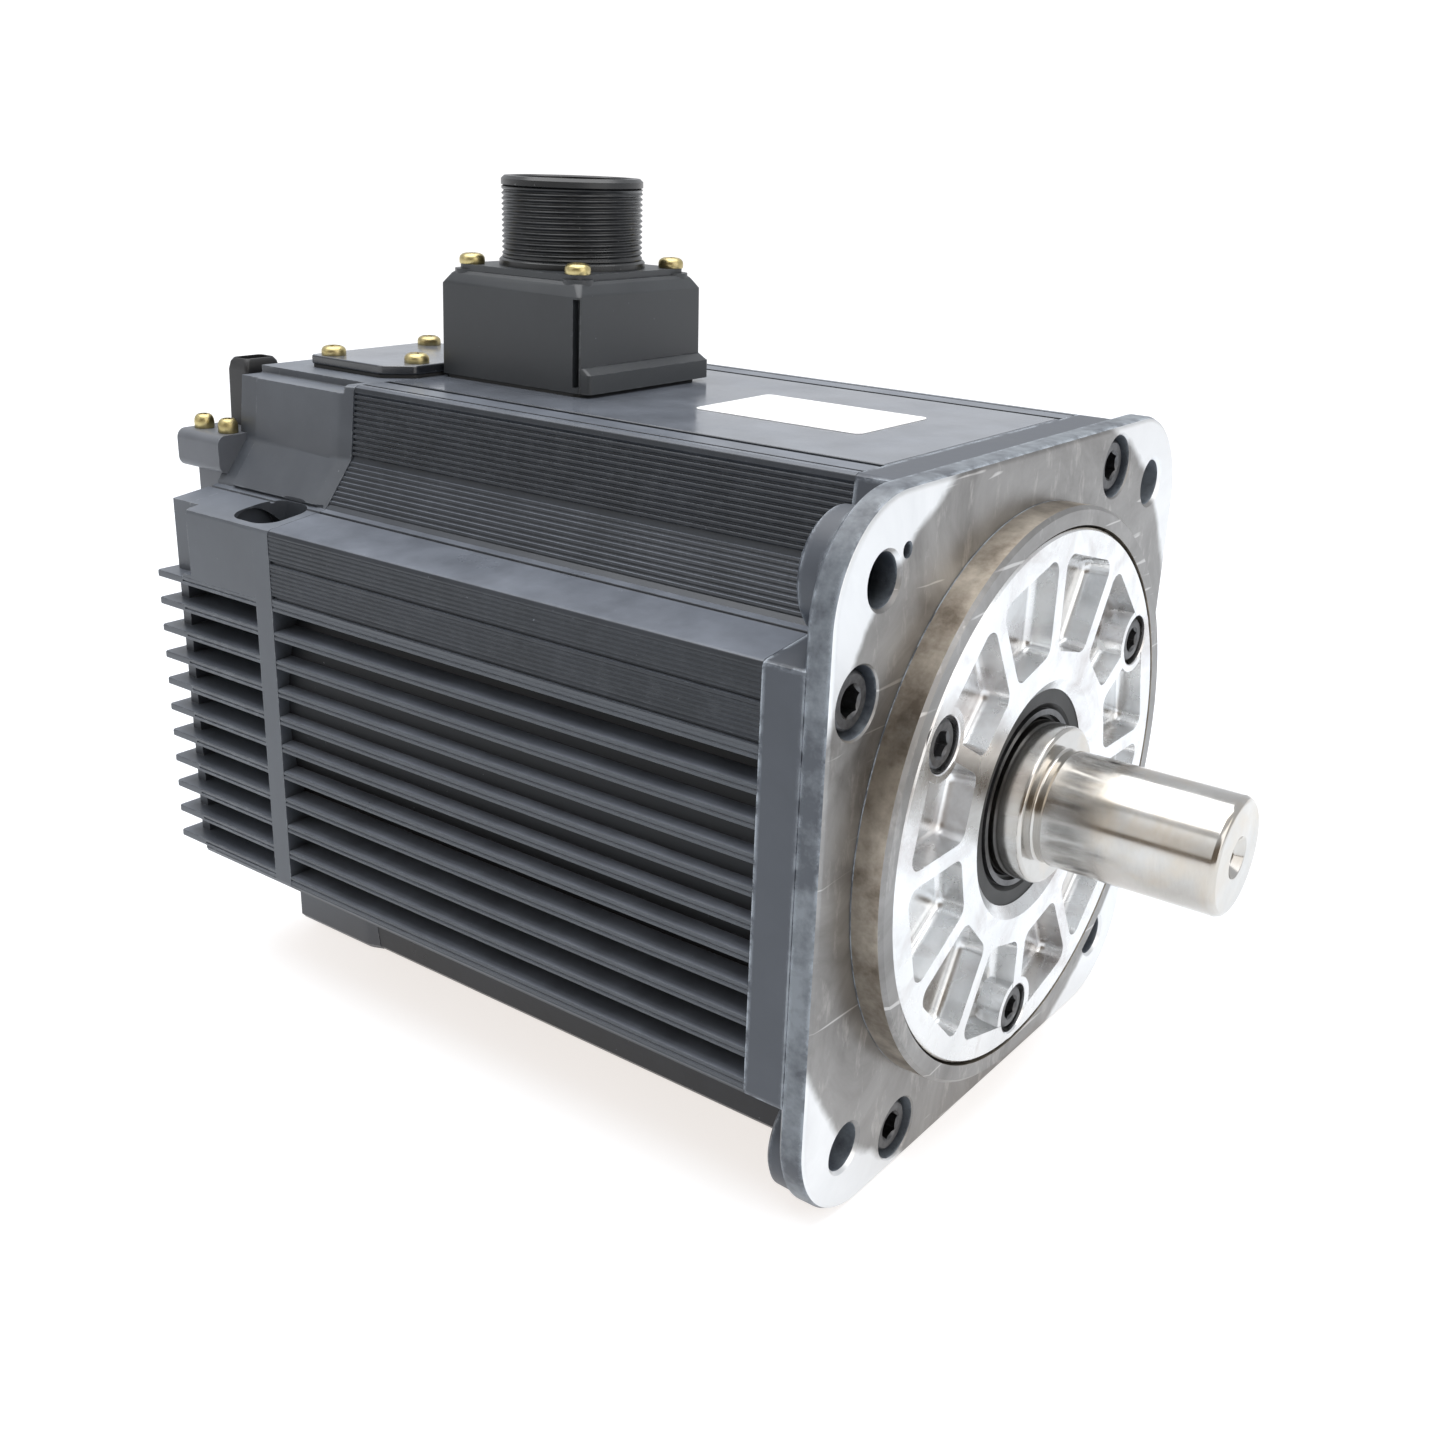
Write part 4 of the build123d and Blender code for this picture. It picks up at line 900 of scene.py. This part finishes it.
cover_screws = []
for angle in screw_angles:
    cover_screws.append(socket_screw("screw", *on_screw_circle(angle), well_floor, 2.9, 4.4, angle * 0.7))
screw_group("cover_socket_screws", cover_screws, black_steel, "black_oxide_steel", "front_cover_screws")

rear_cover_spots = [(-38.0, -45.0), (38.0, -45.0), (-36.0, 57.0), (43.2, 44.2)]
rear_screws = [socket_screw("screw", y, z, cover_back, 2.2, 3.0, 10, -1) for y, z in rear_cover_spots]
screw_group("rear_cover_screws", rear_screws, black_steel, "black_oxide_steel", "encoder_cover_screws")

shell_reach = 14.5  # from the connector's axis to its screws, each way
shell_screws = []
for dx in (-shell_reach, shell_reach):
    for dy in (-shell_reach, shell_reach):
        shell_screws.append(pan_screw("screw", box_x + dx, dy, 87.5, 2.1, 2.6, 20 + dx + 2 * dy))
screw_group("connector_pan_screws", shell_screws, zinc, "yellow_zinc_steel", "connector_screws")

access_spots = [(-153.5, -27.5), (-133.8, -22.0), (-153.5, 0.0), (-134.0, 0.0)]
access_screws = [pan_screw("screw", x, y, 67.0, 2.1, 2.6, 30 + x + y) for x, y in access_spots]
screw_group("access_pan_screws", access_screws, zinc, "yellow_zinc_steel", "access_plate_screws")

block_spots = [(x, y) for x in (-175.0, -166.8) for y in (-46.0, -19.0)]
block_screws = [pan_screw("screw", x, y, 51.0, 3.0, 2.1, 35 + x + y) for x, y in block_spots]
screw_group("encoder_pan_screws", block_screws, zinc, "yellow_zinc_steel", "encoder_connector_screws")

# ---- shaft ----
rear_journal = [(-150.0, 0.02), (-150.0, 6.0), (-134.5, 6.0), (-134.5, 10.0), (-119.0, 10.0), (-119.0, 12.0)]
rotor_seat = [(-102.0, 12.0), (-102.0, 14.0), (-28.0, 14.0), (-28.0, 17.0), (-20.2, 17.0), (-20.2, 15.0)]
seal_collar = [(9.2, 15.0), (9.75, 14.8), (10.0, 14.3), (10.0, 11.0)]
output_end = [(10.3, 10.7), (11.5, 10.7), (12.0, 11.0), (42.9, 11.0), (43.7, 10.6), (44.0, 10.0)]
centre_hole = [(44.0, 3.95), (42.4, 2.6), (24.0, 2.6), (23.0, 0.02)]
shaft = lathe("shaft_turned", rear_journal + rotor_seat + seal_collar + output_end + centre_hole, steps=128)
soften(shaft, 0.12, 2, 20)
dress(shaft, shaft_metal, ROTOR, "shaft_steel", "shaft")

# ---- power connector box ----
def level_outline(x, y, z, half_x, half_y, radius):
    """A level rounded rectangle, one ring of a box or a socket."""
    return [(u, v, z) for u, v in rounded_rectangle(x, y, 2 * half_x, 2 * half_y, radius, 4)]


# height, half length, half width and corner radius, from the seat up to the lid
box_shape = [(box_seat, 19.2, 19.3, 0.8), (83.6, 19.0, 19.1, 0.8), (84.3, 18.6, 18.7, 1.0)]
box_shape += [(85.6, 17.8, 17.9, 1.3), (86.2, 17.2, 17.3, 1.6)]
box_body = loft("power_box", [level_outline(box_x, 0.0, *level) for level in box_shape])
ledge_outline = rounded_rectangle(box_x + 18.0, 0.2, 7.0, 38.2, 0.8, 3)
ledge = slab("ledge", ledge_outline, box_seat, 69.0)
ledge_top = loft("ledge_top", [
    [(x, y, 68.9) for x, y in ledge_outline],
    [(x, y, 70.2) for x, y in rounded_rectangle(box_x + 17.0, 0.0, 5.4, 37.6, 0.8, 3)]])
merge(box_body, ledge)
merge(box_body, ledge_top)
post_reach = 14.8
posts = []
for dx in (-post_reach, post_reach):
    for dy in (-post_reach, post_reach):
        spot = (box_x + dx, dy)
        posts.append(turned_solid("post", [(80.0, 3.1), (86.6, 3.1)], axis="Z", centre=spot, steps=32))
merge(box_body, *posts)
seam = slab("seam", rounded_rectangle(box_x + 18.1, -19.0, 1.5, 3.0, 0.1, 2), 66.4, 83.2)
bore = turned_solid("bore", [(78.0, 13.0), (90.0, 13.0)], axis="Z", centre=(box_x, 0), steps=64)
cut(box_body, bore)
cut(box_body, seam)
soften(box_body, 0.3, 2, 30)
dress(box_body, paint_box, HOUSING, "housing_paint", "connector_box")

gasket = slab("box_seal", rounded_rectangle(box_x, 0.0, 36.6, 38.0, 1.5, 5), top_z, box_seat)
soften(gasket, 0.1, 1)
dress(gasket, rubber, HOUSING, "gasket_rubber", "box_gasket")

# ---- threaded power connector ----
thread_pitch = 1.05
thread_start = 89.2
thread_end = 102.8
thread_radius = 14.4
thread_depth = 0.42
steps_round = 120
levels = 130


def shell_point(radius, i, z):
    angle = 2 * math.pi * i / steps_round
    return (box_x + radius * math.cos(angle), radius * math.sin(angle), z)


def thread_ring(z):
    """One level of the thread, which runs out smoothly at both ends."""
    fade = max(0.0, min(1.0, (z - thread_start) / 0.9, (thread_end - z) / 0.7))
    ring = []
    for i in range(steps_round):
        phase = (z / thread_pitch - i / steps_round) % 1.0
        wave = 1.0 - abs(2.0 * phase - 1.0)
        depth = thread_depth * max(0.0, min(1.0, 1.35 * wave - 0.12)) * fade
        ring.append(shell_point(thread_radius - depth, i, z))
    return ring


thread_length = thread_end - thread_start
rings = [thread_ring(thread_start + thread_length * level / levels) for level in range(levels + 1)]
lip = [(14.0, 103.0), (14.45, 103.2), (14.45, 104.3), (13.8, 104.9), (12.5, 104.9), (12.2, 104.6)]
inside = [(12.2, 92.9), (10.6, 92.8), (10.6, 80.6), (12.8, 80.5)]
collar = [(12.8, 87.4), (15.0, 87.5), (15.0, 88.6), (14.6, 89.0), (14.2, 89.1)]
top_rings = []
for radius, z in lip + inside + collar:
    top_rings.append([shell_point(radius, i, z) for i in range(steps_round)])
shell = loft("threaded_shell", rings + top_rings + [rings[0]], caps=False)
smooth(shell, 40)
shell_flange = slab("shell_flange", rounded_rectangle(box_x, 0.0, 33.0, 34.0, 2.0, 6), 86.2, 87.5)
flange_bore = turned_solid("bore", [(80.0, 12.7), (95.0, 12.7)], axis="Z", centre=(box_x, 0), steps=64)
cut(shell_flange, flange_bore)
soften(shell_flange, 0.3, 2)
dress(shell, shell_black, HOUSING, "connector_black", "connector_shell")
dress(shell_flange, paint_box, HOUSING, "connector_black")

# ---- access plate, its gasket and the blank label ----
plate_seat = 65.25
plate_middle_x = -143.75
plate_middle_y = -13.5
seal_scale = 0.985  # the gasket stays just inside the plate's edge
cut_corner = [(-136.0, -31.0), (-134.6, -30.4), (-130.6, -26.2), (-130.0, -25.0)]
plate_shape = [(-157.5, -30.0), (-156.5, -31.0), *cut_corner]
plate_shape += [(-130.0, 3.0), (-131.0, 4.0), (-156.5, 4.0), (-157.5, 3.0)]
plate = slab("access_lid", plate_shape, plate_seat, 67.1)
soften(plate, 0.35, 3)
dress(plate, paint_top, HOUSING, "housing_paint", "access_plate")
seal_shape = []
for x, y in plate_shape:
    seal_shape.append((plate_middle_x + (x - plate_middle_x) * seal_scale,
                       plate_middle_y + (y - plate_middle_y) * seal_scale))
plate_seal = slab("access_seal", seal_shape, top_z, plate_seat)
soften(plate_seal, 0.1, 1)
dress(plate_seal, rubber, HOUSING, "gasket_rubber", "access_gasket")
label = slab("blank_label", rounded_rectangle(-49.2, 0.5, 37.6, 25.0, 1.5, 5), top_z + 0.05, top_z + 0.24)
soften(label, 0.05, 1)
dress(label, label_film, HOUSING, "label_white", "rating_label")

# ---- encoder connector on the rear face ----
block_y = -32.5
block_front = -163.9
block = prism("encoder_block", rounded_rectangle(block_y, 47.0, 37.0, 8.0, 2.0, 6), -178.0, block_front)
neck = prism("neck", rounded_rectangle(block_y, 38.4, 33.0, 11.8, 1.5, 4), -174.0, block_front)
merge(block, neck)
socket_x = -172.4
socket_y = -34.0
lead_circle = circle(0, 0, 1.7, 24)
lead_hole = loft("lead_hole", [[(-168.5 + a, y, 37.5 + b) for a, b in lead_circle] for y in (-52.0, -45.0)])
socket_seat = slab("socket_seat", rounded_rectangle(socket_x, socket_y, 7.0, 9.6, 0.6, 2), 45.0, 60.0)
cut(block, socket_seat, lead_hole)
soften(block, 1.0, 4, 40)
dress(block, paint_block, HOUSING, "block_grey", "encoder_connector_block")
socket_shape = [(45.0, 3.4, 4.7, 0.5), (52.0, 3.4, 4.7, 0.5), (62.8, 3.3, 4.6, 0.8)]
socket_shape += [(64.5, 3.0, 4.3, 1.0), (65.3, 2.5, 3.8, 1.2)]
socket = loft("encoder_plug_socket", [level_outline(socket_x, socket_y, *level) for level in socket_shape])
cut(socket, slab("mouth", rounded_rectangle(socket_x, socket_y, 4.4, 7.0, 0.5, 3), 52.0, 70.0))
soften(socket, 0.25, 2)
dress(socket, black_plastic, HOUSING, "black_plastic", "encoder_socket")

# ---- materials for the CAD nodes that stay ----
kept = {
    "oil_seal": rubber, "seal_spring": black_steel, "seal_ring": black_steel,
    "front_bearing_outer_ring": bearing_metal, "front_bearing_inner_ring": bearing_metal,
    "front_bearing_cage": cage_plastic, "front_bearing_balls": bearing_metal,
    "rear_bearing_outer_ring": bearing_metal, "rear_bearing_inner_ring": bearing_metal,
    "rear_bearing_cage": cage_plastic, "rear_bearing_balls": bearing_metal, "preload_washer": spring_metal,
    "rotor_core": steel_stack, "rotor_magnets": magnet_metal, "rotor_front_balance_ring": brass,
    "rotor_rear_balance_ring": brass, "stator_core": steel_stack, "coil_bobbins": bobbin_plastic,
    "stator_coils": copper, "winding_ring": circuit, "encoder_hub": cover_metal, "encoder_disc": disc_glass,
    "encoder_nut": brass, "encoder_body": black_plastic, "encoder_board": circuit,
    "encoder_read_head": black_plastic, "encoder_pins": brass, "encoder_leads": lead_rubber,
    "box_screws": zinc, "connector_insert": black_plastic, "connector_pins": brass,
    "power_leads": lead_rubber,
}
for node_name, material in kept.items():
    node = nodes[node_name]
    node.data.materials.clear()
    node.data.materials.append(material)


# ---- floor, light and camera ----
def floor():
    """Pale floor under the flange's lower edge, with a little light of its own."""
    half = 12.0 / MM
    low = -65.0
    corners = [(-half, -half, low), (half, -half, low), (half, half, low), (-half, half, low)]
    obj = mesh_object("floor", corners, [(0, 1, 2, 3)])
    s = Surface("pale_floor", Metallic=0.0, Roughness=0.6)
    cloud = s.ramp(s.noise(3.0, 2.0, 0.5), (0.3, 0.0), (0.7, 1.0))
    s.colour(s.mix(cloud, (0.32, 0.38, 0.44), (0.36, 0.42, 0.48)))
    s.shader.inputs["Emission Color"].default_value = (0.79, 0.74, 0.70, 1.0)
    s.shader.inputs["Emission Strength"].default_value = 1.0
    obj.data.materials.append(s.material)


def area_light(name, place, target, width, height, power, colour=(1.0, 1.0, 1.0)):
    data = bpy.data.lights.new(name, "AREA")
    data.shape = "RECTANGLE"
    data.size = width
    data.size_y = height
    data.energy = power
    data.color = colour
    lamp = bpy.data.objects.new(name, data)
    lamp.location = place
    direction = Vector(target) - Vector(place)
    lamp.rotation_euler = direction.to_track_quat("-Z", "Y").to_euler()
    bpy.context.scene.collection.objects.link(lamp)
    return lamp


floor()
centre = (-0.06, 0.0, 0.0)
area_light("top_soft", (-0.15, 0.02, 0.95), centre, 1.2, 1.2, 14.0)
area_light("front_soft", (0.95, -0.10, 0.45), (0.0, 0.0, 0.0), 0.9, 0.9, 4.0, (1.0, 0.985, 0.97))
area_light("side_soft", (-0.55, -0.95, 0.55), centre, 0.8, 0.8, 1.6, (0.95, 0.98, 1.0))


def studio_world():
    """White room, dimmer and warmer low down on the near side; looked at directly it is plain white."""
    world = bpy.data.worlds.new("white_room")
    bpy.context.scene.world = world
    world.use_nodes = True
    tree = world.node_tree
    link = tree.links.new

    def step(value, low, high):
        """Rises smoothly from 0 to 1 between low and high."""
        made = tree.nodes.new("ShaderNodeMapRange")
        made.interpolation_type = "SMOOTHSTEP"
        made.inputs["From Min"].default_value = low
        made.inputs["From Max"].default_value = high
        link(value, made.inputs["Value"])
        return made.outputs["Result"]

    coord = tree.nodes.new("ShaderNodeTexCoord")
    parts = tree.nodes.new("ShaderNodeSeparateXYZ")
    link(coord.outputs["Generated"], parts.inputs[0])
    along_shaft = math_node(tree, "MULTIPLY", parts.outputs["X"], 0.45)
    across_shaft = math_node(tree, "MULTIPLY", parts.outputs["Y"], -0.89)
    near_side = step(math_node(tree, "ADD", along_shaft, across_shaft), -0.1, 0.6)
    low_down = math_node(tree, "SUBTRACT", 1.0, step(parts.outputs["Z"], 0.35, 0.85))
    band = math_node(tree, "MULTIPLY", near_side, low_down)
    tint = tree.nodes.new("ShaderNodeMix")
    tint.data_type = "RGBA"
    link(band, tint.inputs["Factor"])
    shades = {"A": (0.95, 0.97, 1.0, 1.0), "B": (0.26, 0.21, 0.16, 1.0)}
    for socket in tint.inputs:
        if socket.type == "RGBA":
            socket.default_value = shades[socket.name]
    result = next(socket for socket in tint.outputs if socket.type == "RGBA")
    room = tree.nodes["Background"]
    link(result, room.inputs["Color"])
    room.inputs["Strength"].default_value = 0.78
    backdrop = tree.nodes.new("ShaderNodeBackground")
    backdrop.inputs["Color"].default_value = (1.0, 1.0, 1.0, 1.0)
    backdrop.inputs["Strength"].default_value = 1.05
    path = tree.nodes.new("ShaderNodeLightPath")
    choice = tree.nodes.new("ShaderNodeMixShader")
    link(path.outputs["Is Camera Ray"], choice.inputs["Fac"])
    link(room.outputs[0], choice.inputs[1])
    link(backdrop.outputs[0], choice.inputs[2])
    link(choice.outputs[0], tree.nodes["World Output"].inputs["Surface"])


studio_world()

azimuth = math.radians(36.20)
elevation = math.radians(20.53)
roll = math.radians(-2.03)
camera_place = (0.11738, -0.25219, 0.11405)
look = Vector((-math.sin(azimuth) * math.cos(elevation), math.cos(azimuth) * math.cos(elevation),
               -math.sin(elevation)))
level_right = look.cross(Vector((0, 0, 1))).normalized()
level_down = look.cross(level_right).normalized()
right = math.cos(roll) * level_right + math.sin(roll) * level_down
up = right.cross(look).normalized()
camera_data = bpy.data.cameras.new("camera")
camera_data.sensor_width = 36.0
camera_data.lens = 39.12
camera_data.clip_start = 0.01
camera = bpy.data.objects.new("camera", camera_data)
camera.matrix_world = Matrix((
    (right.x, up.x, -look.x, camera_place[0]),
    (right.y, up.y, -look.y, camera_place[1]),
    (right.z, up.z, -look.z, camera_place[2]),
    (0.0, 0.0, 0.0, 1.0)))
bpy.context.scene.collection.objects.link(camera)
bpy.context.scene.camera = camera
bpy.context.scene.view_settings.view_transform = "Standard"
